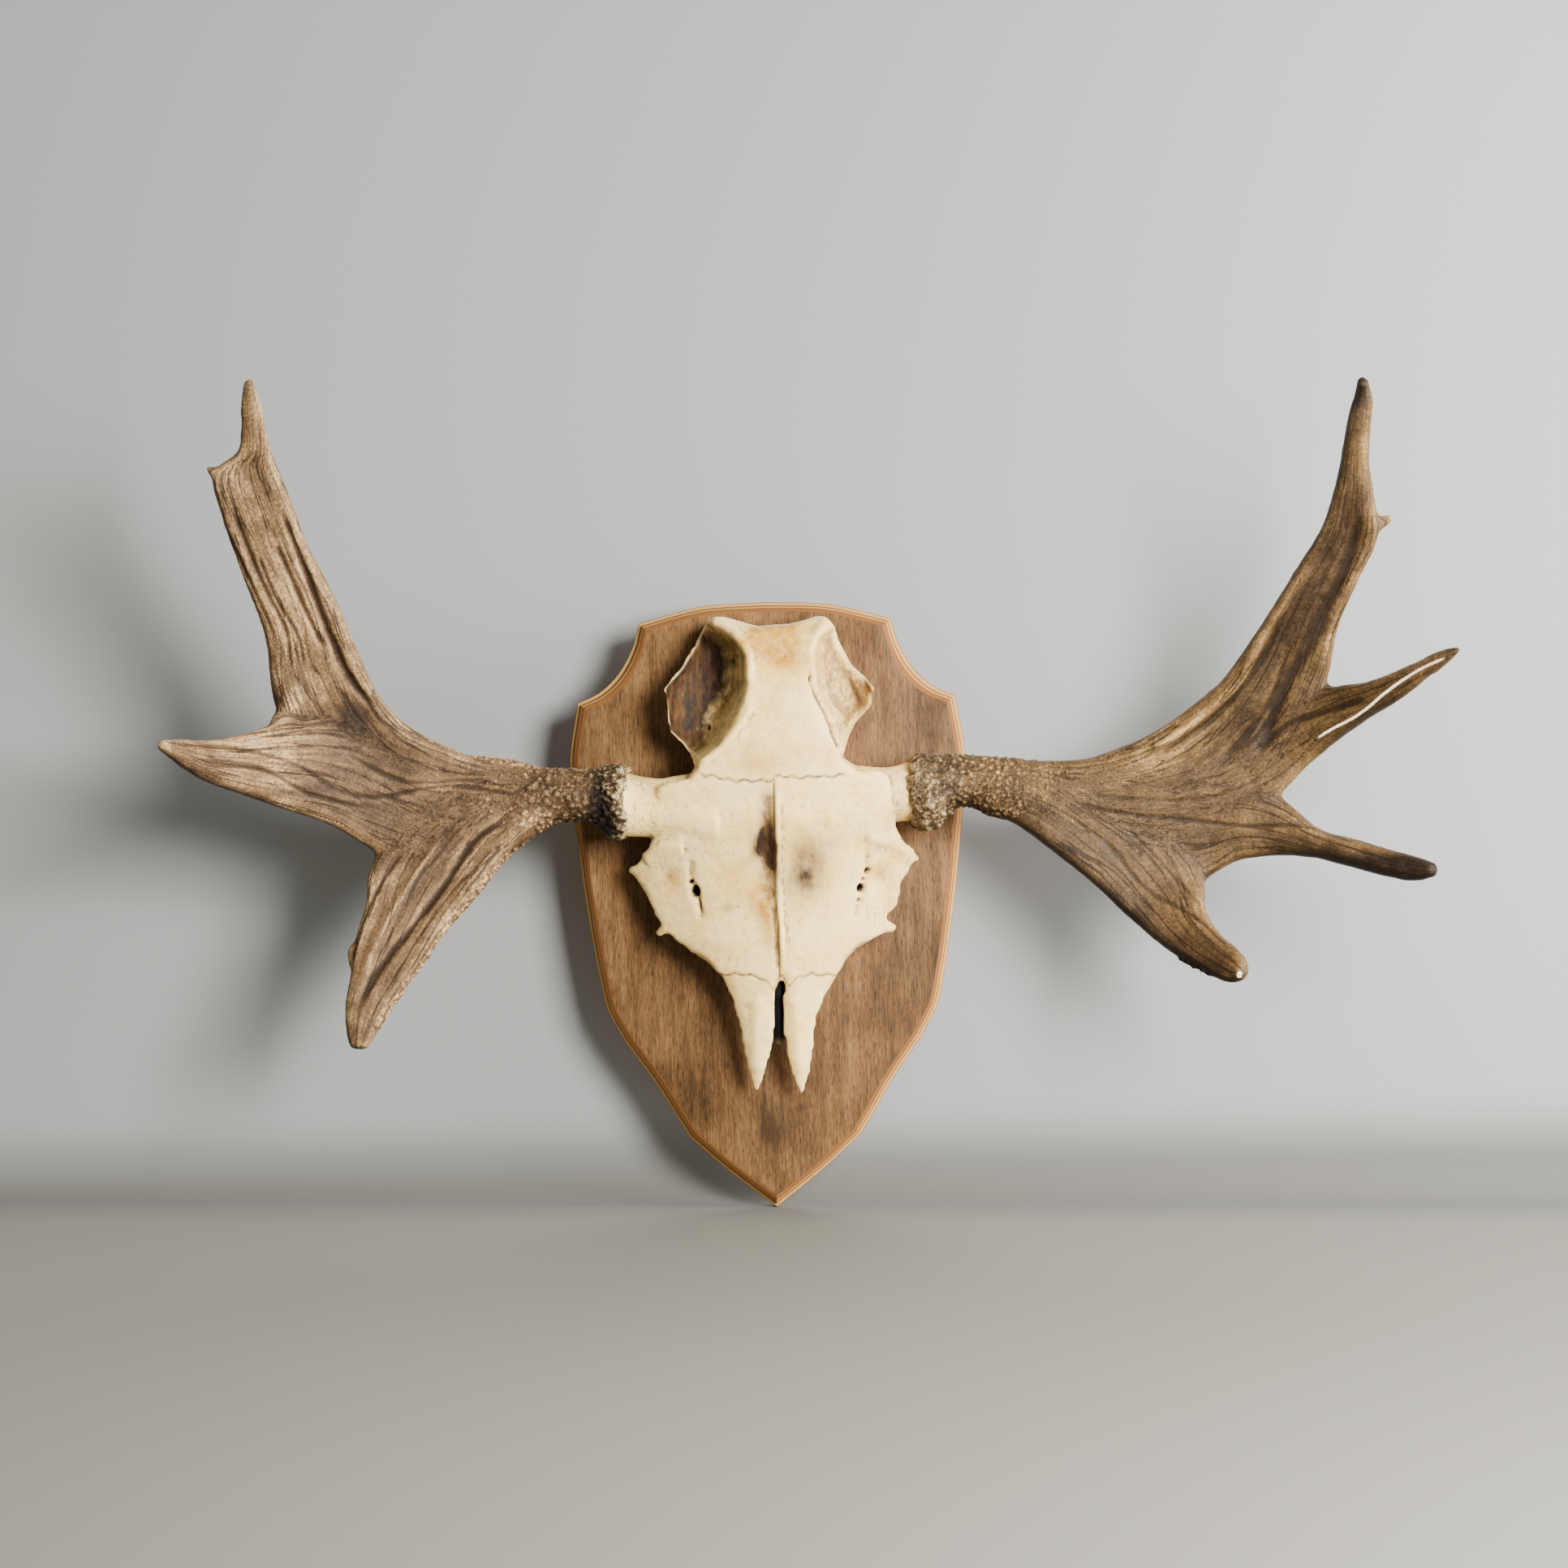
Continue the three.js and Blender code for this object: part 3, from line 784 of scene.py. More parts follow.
@dataclass(frozen=True)
class BoneFinish:
    """Boiled skull bone: cream, chalky and finely porous, with ochre and earth stains that soaked in, and
    painted shade in hollows, holes and the gap between the nasal bones.
    """

    name: str = "boiled bone"
    cream: str = "#edbe62"
    ivory: str = "#fbdb92"
    ochre: str = "#b07a08"
    sand: str = "#8d7046"
    earth_and_shade: str = "#4b3012"
    soil: str = "#211408"
    suture: str = "#46290f"
    # painted shade: black in holes and in the gap between the nasal bones
    hole_shade: str = "#030201"
    cloud: float = 22.0  # mm between the faint clouds
    blotch: float = 5.0  # and between the blotches
    pore: Spacing = (0.9, 0.9, 1.4)
    dirt: Spacing = (2.4, 2.4, 4.0)
    run: Spacing = (5.0, 5.0, 17.0)  # mm between the runs in the earth stains

    def material(self) -> bpy.types.Material:
        """Reads ochre, earth_and_shade, grime_and_shade, hole_shade and seam from the mesh; the middle three
        carry painted shade, beside stains and dirt.

        Returns:
            The material.
        """
        s = Surface(self.name)
        clouds = s.waves(s.stretched((self.cloud,) * 3), 4.0)
        blotches = s.waves(s.stretched((self.blotch,) * 3), 3.0)
        pores = s.waves(s.stretched(self.pore), 2.0)
        dirt = s.waves(s.stretched(self.dirt), 4.0, 0.7)
        colour = s.ramp(s.sum((clouds, 0.7), (blotches, 0.3)), [(0.32, self.cream), (0.6, self.ivory)])
        tint = s.stretch(s.sum((clouds, 0.5), (blotches, 0.5)), 0.48, 0.7)
        colour = s.over(colour, self.ochre, s.times(tint, 0.14))
        colour = s.over(colour, self.ochre, s.times(s.attribute("ochre"), s.sum((blotches, 0.9), (0.4, 1.0))))
        streaks = s.waves(s.stretched(self.run), 3.0)
        soaked = s.sum((streaks, 0.75), (dirt, 0.25), (s.attribute("earth_and_shade"), -0.2), (0.08, 1.0))
        earth_and_shade = s.ramp(soaked, [(0.3, self.soil), (0.42, self.earth_and_shade), (0.62, self.sand)])
        colour = s.over(colour, earth_and_shade, s.times(s.attribute("earth_and_shade"), s.sum((dirt, 0.6), (0.68, 1.0))))
        # dirt, and painted shade in the hollows
        grime_and_shade = s.sum((dirt, 1.0), (s.attribute("grime_and_shade"), 0.3), (-0.1, 1.0))
        clean = s.sum((s.attribute("earth_and_shade"), -0.42), (0.42, 1.0))
        colour = s.over(colour, self.sand, s.times(s.stretch(grime_and_shade, 0.38, 0.66), clean))
        colour = s.over(colour, self.earth_and_shade, s.times(s.stretch(grime_and_shade, 0.5, 0.76), 0.6))
        colour = s.over(colour, self.soil, s.times(s.stretch(pores, 0.62, 0.78), 0.25))
        # holes and the nasal gap painted black as shade
        colour = s.over(colour, self.hole_shade, s.attribute("hole_shade"))
        colour = s.over(colour, self.suture, s.times(s.attribute("seam"), 0.9))
        roughness = s.sum((clouds, 0.12), (s.attribute("earth_and_shade"), 0.15), (0.52, 1.0))
        height = s.sum((pores, 0.4), (blotches, 0.3), (dirt, 0.3))
        return s.finish(colour, roughness, height, 0.35, Specular_IOR_Level=0.3)


@dataclass(frozen=True)
class PlywoodFinish:
    """Mahogany-faced plywood with a routed edge: upright grain on the face, the plies laid bare round it."""

    name: str = "mahogany plywood, oiled"
    dark: str = "#392715"
    mid: str = "#583e23"
    light: str = "#805d38"
    pore: str = "#1f1307"
    ply_long: str = "#c4934f"
    ply_cross: str = "#774c26"
    glue: str = "#33200d"
    back: str = "#a27c4e"
    knot: Spot = (-0.5, -18.0, -158.0)
    ply: float = 2.25  # mm, thickness of one ply
    face_y: float = -17.75  # the face veneer is what lies in front of this
    back_y: float = -0.2  # and the back veneer what lies behind this
    bend: Spacing = (50.0, 60.0, 110.0)  # mm between the grain's waves along X, Y and Z, as the next four
    figure: Spacing = (6.0, 30.0, 70.0)
    fibre: Spacing = (1.1, 4.0, 15.0)
    dash: Spacing = (1.0, 3.0, 6.0)
    patch: Spacing = (42.0, 42.0, 60.0)
    knot_radii: Point = (2.0, 13.0)

    def material(self) -> bpy.types.Material:
        """Needs only the object's coordinates.

        Returns:
            The material.
        """
        s = Surface(self.name)
        bend = s.waves(s.stretched(self.bend), 2.0)
        figure = s.waves(s.stretched(self.figure), 4.0, 0.6)
        fibre = s.waves(s.stretched(self.fibre), 5.0, 0.75)
        dashes = s.waves(s.stretched(self.dash), 3.0, 0.6)
        middle = tuple(MM * length for length in self.knot)
        gap = {0: s.place, 1: middle}
        from_knot = add_node(s.tree, "VectorMath", gap, operation="DISTANCE").outputs["Value"]
        ring = s.sum((from_knot, 1.0), (figure, 12.0 * MM), (-6.0 * MM, 1.0))
        knot = s.times(s.stretch(ring, self.knot_radii[1] * MM, self.knot_radii[0] * MM), 0.16)
        patches = s.waves(s.stretched(self.patch), 2.0)
        tone = s.sum(
            (figure, 0.45), (fibre, 0.85), (bend, 0.3), (patches, 0.65), (dashes, 0.5), (knot, -1.0),
            (-0.87, 1.0),
        )
        face = s.ramp(tone, [(0.26, self.dark), (0.48, self.mid), (0.76, self.light)])
        face = s.over(face, self.pore, s.times(s.stretch(dashes, 0.44, 0.3), 0.65))
        depth = add_node(s.tree, "SeparateXYZ", {0: s.place}).outputs["Y"]
        layer = s.times(depth, -1.0 / (MM * self.ply))
        part = s.math("FRACT", layer)
        cross = s.math("FLOORED_MODULO", s.math("FLOOR", layer), 2.0)
        edge = s.ramp(cross, [(0.0, self.ply_long), (1.0, self.ply_cross)])
        edge = s.over(edge, self.ply_cross, s.times(fibre, 0.7))
        edge = s.over(edge, self.glue, s.stretch(part, 0.84, 0.97))
        is_face = s.math("LESS_THAN", depth, self.face_y * MM)
        is_back = s.math("GREATER_THAN", depth, self.back_y * MM)
        colour = s.over(edge, face, is_face)
        back = s.ramp(tone, [(0.3, self.ply_cross), (0.7, self.back)])
        back = s.over(back, self.pore, s.times(s.stretch(dashes, 0.6, 0.74), 0.5))
        colour = s.over(colour, back, is_back)
        roughness = s.sum((fibre, 0.2), (0.5, 1.0))
        height = s.sum((fibre, 0.5), (dashes, 0.5))
        return s.finish(colour, roughness, height, 0.22, Specular_IOR_Level=0.12)


@dataclass(frozen=True)
class ZincFinish:
    """Zinc-plated steel: a cool grey metal with a faint yellow cast and rolled streaks."""

    name: str = "zinc-plated steel"
    bright: str = "#c3c2bb"
    dull: str = "#8e8b80"
    cloud: float = 4.0  # mm between the dull places
    scratch: Spacing = (0.3, 3.0, 6.0)

    def material(self) -> bpy.types.Material:
        """Needs only the object's coordinates.

        Returns:
            The material.
        """
        s = Surface(self.name)
        clouds = s.waves(s.stretched((self.cloud,) * 3), 3.0)
        scratches = s.waves(s.stretched(self.scratch), 2.0)
        colour = s.ramp(s.sum((clouds, 0.7), (scratches, 0.3)), [(0.3, self.dull), (0.7, self.bright)])
        roughness = s.sum((clouds, 0.25), (0.22, 1.0))
        return s.finish(colour, roughness, scratches, 0.03, Metallic=1.0)


# ---------------------------------------------------------------- antlers


def round_rings(rows: np.ndarray, y: float, count: int) -> np.ndarray:
    """Rings round an axis that runs about along X.

    Args:
        rows: [x, z, radius] of each ring.
        y: The axis's depth.
        count: Points in each ring.

    Returns:
        An array of [ring, place, xyz].
    """
    turn = np.linspace(0.0, 2.0 * math.pi, count, endpoint=False)
    rings = [
        np.stack([np.full(count, x), y + r * np.sin(turn), z + r * np.cos(turn)], axis=1) for x, z, r in rows
    ]
    return np.array(rings)


@dataclass(frozen=True)
class Branch:
    """A beam, blade or tine, as cross-sections that are joined smoothly.

    Attributes:
        rows: [x, z] of edge A, [x, z] of edge B, y of both, and half the thickness.
        cup: How far the middle is dished back, as a share of the half-width.
        rim_a: Height of the rolled rim along edge A, in front.
        rim_b: The same along edge B.
    """

    rows: tuple[tuple[float, ...], ...]
    cup: float = 0.18
    rim_a: float = 0.0
    rim_b: float = 0.0
    FULLNESS = 0.72  # below 1 the section is squarer than an ellipse
    THINNEST = 0.6
    RIM_PLACE = 0.82  # where a rim runs, as a share of the half-width
    RIM_WIDTH = 0.15  # as a share of it too
    RIM_BEHIND = 0.25  # share of a rim's height that also shows at the back
    FLAT_OVER = 20.0  # mm by which a section is wider than it is thick before it has full rims

    def rings(self, step: float, count: int) -> np.ndarray:
        """Points round the branch.

        Args:
            step: Millimetres between rings.
            count: Points in each ring, from edge A over the front to edge B and round the back.

        Returns:
            An array of [ring, place, xyz].
        """
        rows = smooth_rows(self.rows, step)
        centre = np.stack([(rows[:, 0] + rows[:, 2]) / 2, rows[:, 4], (rows[:, 1] + rows[:, 3]) / 2], axis=1)
        level = np.zeros(len(rows))
        across = np.stack([(rows[:, 0] - rows[:, 2]) / 2, level, (rows[:, 1] - rows[:, 3]) / 2], axis=1)
        half = np.maximum(rows[:, 5], self.THINNEST)
        along = np.gradient(centre, axis=0)
        forward = np.cross(across, along)
        forward *= np.where(forward[:, 1] > 0, -1.0, 1.0)[:, None] / np.linalg.norm(forward, axis=1)[:, None]
        reach = np.linalg.norm(across, axis=1)
        turn = np.linspace(0.0, 2.0 * math.pi, count, endpoint=False)
        u = np.cos(turn)[None, :]
        lift = np.sign(np.sin(turn)) * np.abs(np.sin(turn)) ** self.FULLNESS
        flat = np.clip((reach - half) / self.FLAT_OVER, 0.0, 1.0)[:, None]
        rim = self.rim_a * np.exp(-(((u - self.RIM_PLACE) / self.RIM_WIDTH) ** 2))
        rim = rim + self.rim_b * np.exp(-(((u + self.RIM_PLACE) / self.RIM_WIDTH) ** 2))
        v = half[:, None] * lift[None, :] - (self.cup * np.maximum(0.0, reach - half))[:, None] * (1.0 - u**2)
        v = v + rim * np.where(lift > 0, 1.0, self.RIM_BEHIND)[None, :] * flat
        return centre[:, None] + across[:, None] * u[..., None] + forward[:, None] * v[..., None]

    @property
    def tip(self) -> tuple[float, float, float]:
        """The middle of the last cross-section."""
        ax, az, bx, bz, y, _ = self.rows[-1]
        return (ax + bx) / 2, y, (az + bz) / 2


class Flow:
    """How far along and across its branches each point of an antler lies, so that patterns follow growth."""

    STEP = 4.0
    COUNT = 28
    SPREAD = 5.0  # mm over which one branch's pattern gives way to another's
    SIDES_APART = 9.0  # half of how far apart a pattern takes front and back to be

    def __init__(self, branches: Sequence[Branch], points: np.ndarray) -> None:
        """Finds the points on every branch.

        Args:
            branches: The antler's branches.
            points: The skin's points.
        """
        coordinates, gaps = zip(*(self._on_branch(branch, points) for branch in branches))
        self.coordinates = coordinates
        near = np.stack(gaps)
        weight = np.exp(-(((near - near.min(axis=0)) / self.SPREAD) ** 2))
        self.weight = weight / weight.sum(axis=0)

    def _on_branch(self, branch: Branch, points: np.ndarray) -> tuple[np.ndarray, np.ndarray]:
        """Where points lie on one branch.

        Args:
            branch: The branch.
            points: The skin's points.

        Returns:
            Coordinates, [across, along, front or back], and distances from the branch.
        """
        rings = branch.rings(self.STEP, self.COUNT)
        step_along = np.gradient(rings, axis=0)
        length = np.linalg.norm(step_along, axis=2).mean(axis=1)
        s = np.concatenate([[0.0], np.cumsum(length[1:])])
        sides = np.linalg.norm(np.roll(rings, -1, axis=1) - rings, axis=2)
        round_front = np.concatenate([np.zeros((len(rings), 1)), np.cumsum(sides, axis=1)[:, :-1]], axis=1)
        girth = sides.sum(axis=1, keepdims=True)
        round_half = np.minimum(round_front, girth - round_front)
        widest = (girth / 2).mean()
        c = round_half / (girth / 2) * widest
        turn = np.linspace(0.0, 2.0 * math.pi, self.COUNT, endpoint=False)
        index, gap = nearest(points, rings.reshape(-1, 3))
        ring, place = index // self.COUNT, index % self.COUNT
        offset = points - rings[ring, place]
        t_along = step_along[ring, place] / np.linalg.norm(step_along[ring, place], axis=1)[:, None]
        t_across = (np.roll(rings, -1, axis=1) - np.roll(rings, 1, axis=1))[ring, place]
        t_across = t_across / np.maximum(1e-6, np.linalg.norm(t_across, axis=1))[:, None]
        backwards = np.where(place > self.COUNT / 2, -1.0, 1.0)
        scale = widest / (girth[ring, 0] / 2)
        exact_c = c[ring, place] + (offset * t_across).sum(axis=1) * backwards * scale
        exact_s = s[ring] + (offset * t_along).sum(axis=1)
        return np.stack([exact_c, exact_s, self.SIDES_APART * np.sin(turn[place])], axis=1), gap

    def blend(self, pattern: Callable[[np.ndarray], np.ndarray]) -> np.ndarray:
        """A pattern of [across, along, side], in millimetres, that crosses smoothly from branch to branch.

        Args:
            pattern: Gives a number for each row of coordinates.

        Returns:
            One number for each point.
        """
        return sum(weight * pattern(where) for weight, where in zip(self.weight, self.coordinates))

    def main(self) -> np.ndarray:
        """The coordinates on whichever branch each point is nearest to."""
        stacked = np.stack(self.coordinates)
        return stacked[self.weight.argmax(axis=0), np.arange(stacked.shape[1])]


@dataclass(frozen=True)
class PearlBand:
    """A strip of antler that is covered with pearls, the small bony beads.

    Attributes:
        line: The strip's middle, as [x, z] points.
        width: Half its width.
        count: How many pearls to try to place.
        radii: The smallest and largest pearl.
    """

    line: tuple[Point, ...]
    width: float
    count: int
    radii: Point


@dataclass(frozen=True)
class Burr:
    """The knobbly collar at an antler's foot.

    Attributes:
        rows: [x, z, radius] along the beam.
        y: Its depth.
        knobs: How many knobs stand round it.
        knob_radii: The smallest and largest knob.
    """

    rows: tuple[Spot, ...]
    y: float
    knobs: int
    knob_radii: Point
    RING_STEP = 2.0
    RING_POINTS = 36

    def shells(self, chance: np.random.Generator) -> list[Shell]:
        """The collar and its knobs.

        Args:
            chance: Where the knobs' places and sizes come from.

        Returns:
            Two shells that run into each other.
        """
        rows = smooth_rows(self.rows, self.RING_STEP)
        spots = []
        for _ in range(self.knobs):
            x, z, r = rows[chance.integers(0, len(rows))]
            angle = chance.uniform(0.0, 2.0 * math.pi)
            size = chance.uniform(*self.knob_radii)
            reach = r - chance.uniform(0.1, 0.7) * size
            spots.append((x, self.y + reach * math.sin(angle), z + reach * math.cos(angle), size))
        return [tube(round_rings(rows, self.y, self.RING_POINTS)), beads(spots)]


@dataclass(frozen=True)
class Antler:
    """One antler, from its burr to the tips of its blades and tines.

    Attributes:
        name: The piece's name.
        nodes: The CAD nodes that it stands for.
        branches: Beam, blades and tines, the stem first.
        burr: The collar at its foot.
        pearls: Where its pearls are.
        strokes: Grooves and ridges that are its own.
        rubbed: Lines along which the brown has worn off.
        shade_and_stains: Dark stains and painted shade and, with strengths below 0, pale worn places and
            painted highlight.
        dark_tips_and_shade: Parts that are nearly black: dark tips, and painted shade on the burr and under
            edges.
        nubs: Small worn knobs, each [x, y, z, radius].
        relief: How strongly the grooves are cut.
        tone: How light the whole is, about 0.5.
        seed: Which random numbers it uses.
        finish: What it is made of.
    """

    name: str
    nodes: tuple[str, ...]
    branches: tuple[Branch, ...]
    burr: Burr
    pearls: tuple[PearlBand, ...]
    strokes: tuple[Stroke, ...]
    rubbed: tuple[Stroke, ...]
    shade_and_stains: tuple[Patch, ...]
    dark_tips_and_shade: tuple[Patch, ...]
    nubs: tuple[Ball, ...]
    relief: float
    tone: float
    seed: int
    finish: AntlerFinish
    RING_STEP = 3.0
    RING_POINTS = 44
    COARSE = 2.2  # spacing of the skin in which the branches run together
    FINE = 1.2  # spacing of the final skin
    TIP_REACH = 26.0  # how far round a tip the coarse skin isn't smoothed
    TIP_WEAR = 22.0  # how far down from a tip wear has smoothed the antler
    PEARL_GAP = 1.25  # least distance between pearls, in radii
    MAIN_WAVE = (8.0, 110.0, 9.0)  # mm between the large grooves across, along and from front to back
    MINOR_WAVE = (3.4, 55.0, 9.0)  # the same for the fine grooves
    SWELL_WAVE = (14.0, 140.0, 12.0)  # and for the low swellings
    SHADED_SIDE = (-0.45, 0.1, -0.88)  # which way the undersides face, which are painted darker as shade

    def build(self) -> None:
        """Makes the antler and gives it its finish."""
        chance = np.random.default_rng(self.seed)
        branches = [tube(branch.rings(self.RING_STEP, self.RING_POINTS)) for branch in self.branches]
        shell = fused(merged([*branches, beads(self.nubs)]), self.COARSE)
        relax(shell, 9, [branch.tip for branch in self.branches], self.TIP_REACH)
        relax(shell, 1)
        shell = fused(merged([shell, *self.burr.shells(chance)]), self.FINE)
        relax(shell, 2)
        skin = Skin(self.name, shell)
        self._dress(skin, self._set_pearls(skin, chance))
        skin.shift(SKULL_OFFSET_X)
        add_piece(self.name, skin.mesh, self.finish.material(), self.nodes)

    def _set_pearls(self, skin: Skin, chance: np.random.Generator) -> np.ndarray:
        """Sets pearls on the skin at random, few of them on top of another.

        Args:
            skin: The smooth skin.
            chance: Where their places and sizes come from.

        Returns:
            How high each point of the skin is raised, in millimetres.
        """
        spots: list[np.ndarray] = []
        sizes: list[float] = []
        for band in self.pearls:
            gap, _ = distance_to_line(skin.points[:, [0, 2]], band.line)
            inside = np.flatnonzero(gap < band.width)
            for index in chance.choice(inside, size=min(band.count, len(inside)), replace=False):
                radius = chance.uniform(*band.radii)
                spot = skin.points[index]
                if spots and np.min(np.linalg.norm(np.array(spots) - spot, axis=1)) < self.PEARL_GAP * radius:
                    continue
                spots.append(spot)
                sizes.append(radius)
        number, gap = nearest(skin.points, spots)
        radius = np.array(sizes)[number]
        share = np.clip(gap / radius, 0.0, 1.0)
        return radius * np.sqrt(1.0 - share**2)

    def _dress(self, skin: Skin, pearls: np.ndarray) -> None:
        """Cuts the grooves of the skin and notes what its finish needs.

        Args:
            skin: The smooth skin.
            pearls: How high the pearls stand on it.
        """
        flow = Flow(self.branches, skin.points)
        wave, bend = Lattice(self.seed), Lattice(self.seed + 50)
        wander = bend.layered(skin.points / 18.0, 3)
        main = flow.blend(lambda p: wave.layered(p / self.MAIN_WAVE, 2))
        minor = flow.blend(lambda p: wave.layered(p / self.MINOR_WAVE + 11.0, 2))
        swell = flow.blend(lambda p: wave.at(p / self.SWELL_WAVE + 5.0))
        deep = np.exp(-((main / 0.06) ** 2)) * smoothstep(wander, -0.2, 0.5)
        fine = np.exp(-((minor / 0.14) ** 2)) * smoothstep(wander, 0.6, -0.2)
        lump = bend.layered(skin.points / 7.0, 3)
        beam = self._beam_share(skin)
        tips = self._tip_share(skin)
        calm = (1.0 - 0.85 * beam) * (1.0 - 0.6 * tips)
        height = calm * self.relief * (0.7 * swell - 0.6 * deep - 0.2 * fine)
        height = height + (0.3 + 0.4 * beam) * lump + 0.8 * pearls
        furrow = calm * (0.25 * deep + 0.1 * fine)
        for stroke in self.strokes:
            strength = stroke.strength(skin, 1.2 * wander)
            height -= stroke.depth * strength
            if stroke.depth > 0:
                furrow += min(1.0, 0.32 * stroke.depth) * strength**1.5
        worn = sum((stroke.strength(skin) * stroke.depth for stroke in self.rubbed), np.zeros(len(height)))
        skin.raise_by(height)
        # stains and painted shade darken the tone; wear and painted highlight lighten it
        shade_and_stain = total(self.shade_and_stains, skin.points, 0.25 * wander)
        # nearly black dark tips and painted shade
        dark_and_shade = total(self.dark_tips_and_shade, skin.points, 0.2 * wander)
        pits, dips = skin.hollowness(6), skin.hollowness(40)
        # painted shade in the hollows and painted highlight on the ridges
        hollow_shade_ridge_light = np.clip(pits / 0.35, -1.0, 1.0) * 0.13 + np.clip(dips / 1.2, -1.0, 1.0) * 0.2
        # painted shade: the tone is darkened on the undersides
        under_shade = smoothstep(skin.normals @ np.array(self.SHADED_SIDE), 0.1, 0.95)
        tone = self.tone + 0.08 * wander + 0.05 * minor - 0.06 * beam - hollow_shade_ridge_light - 0.35 * shade_and_stain - 0.26 * under_shade
        skin.store("tone", tone)
        skin.store("furrow", np.clip(furrow * smoothstep(pits, -0.15, 0.1), 0.0, 1.0))
        skin.store("beam", beam)
        skin.store("worn", np.clip(worn, 0.0, 1.0))
        skin.store("dark_and_shade", np.clip(dark_and_shade, 0.0, 1.0))
        skin.store("crust", self._crust_share(skin.points))
        skin.store_vectors("grain", flow.main() * MM)

    def _beam_share(self, skin: Skin) -> np.ndarray:
        """How fully each point lies where pearls, not grooves, cover the antler."""
        flat = skin.points[:, [0, 2]]
        shares = [np.exp(-((distance_to_line(flat, band.line)[0] / band.width) ** 2)) for band in self.pearls]
        return np.max(shares, axis=0)

    def _tip_share(self, skin: Skin) -> np.ndarray:
        """How near each point is to a tip, where wear has smoothed the antler."""
        tips = np.array([branch.tip for branch in self.branches])
        gap = np.linalg.norm(skin.points[:, None] - tips[None], axis=2).min(axis=1)
        return np.exp(-((gap / self.TIP_WEAR) ** 2))

    def _crust_share(self, local: np.ndarray) -> np.ndarray:
        """How fully each point belongs to the burr's crust.

        Args:
            local: The skin's points.

        Returns:
            Numbers from 0 to 1.
        """
        xs = [row[0] for row in self.burr.rows]
        middle, reach = (min(xs) + max(xs)) / 2, (max(xs) - min(xs)) / 2 + 4.0
        return smoothstep(np.abs(local[:, 0] - middle), reach + 6.0, reach)


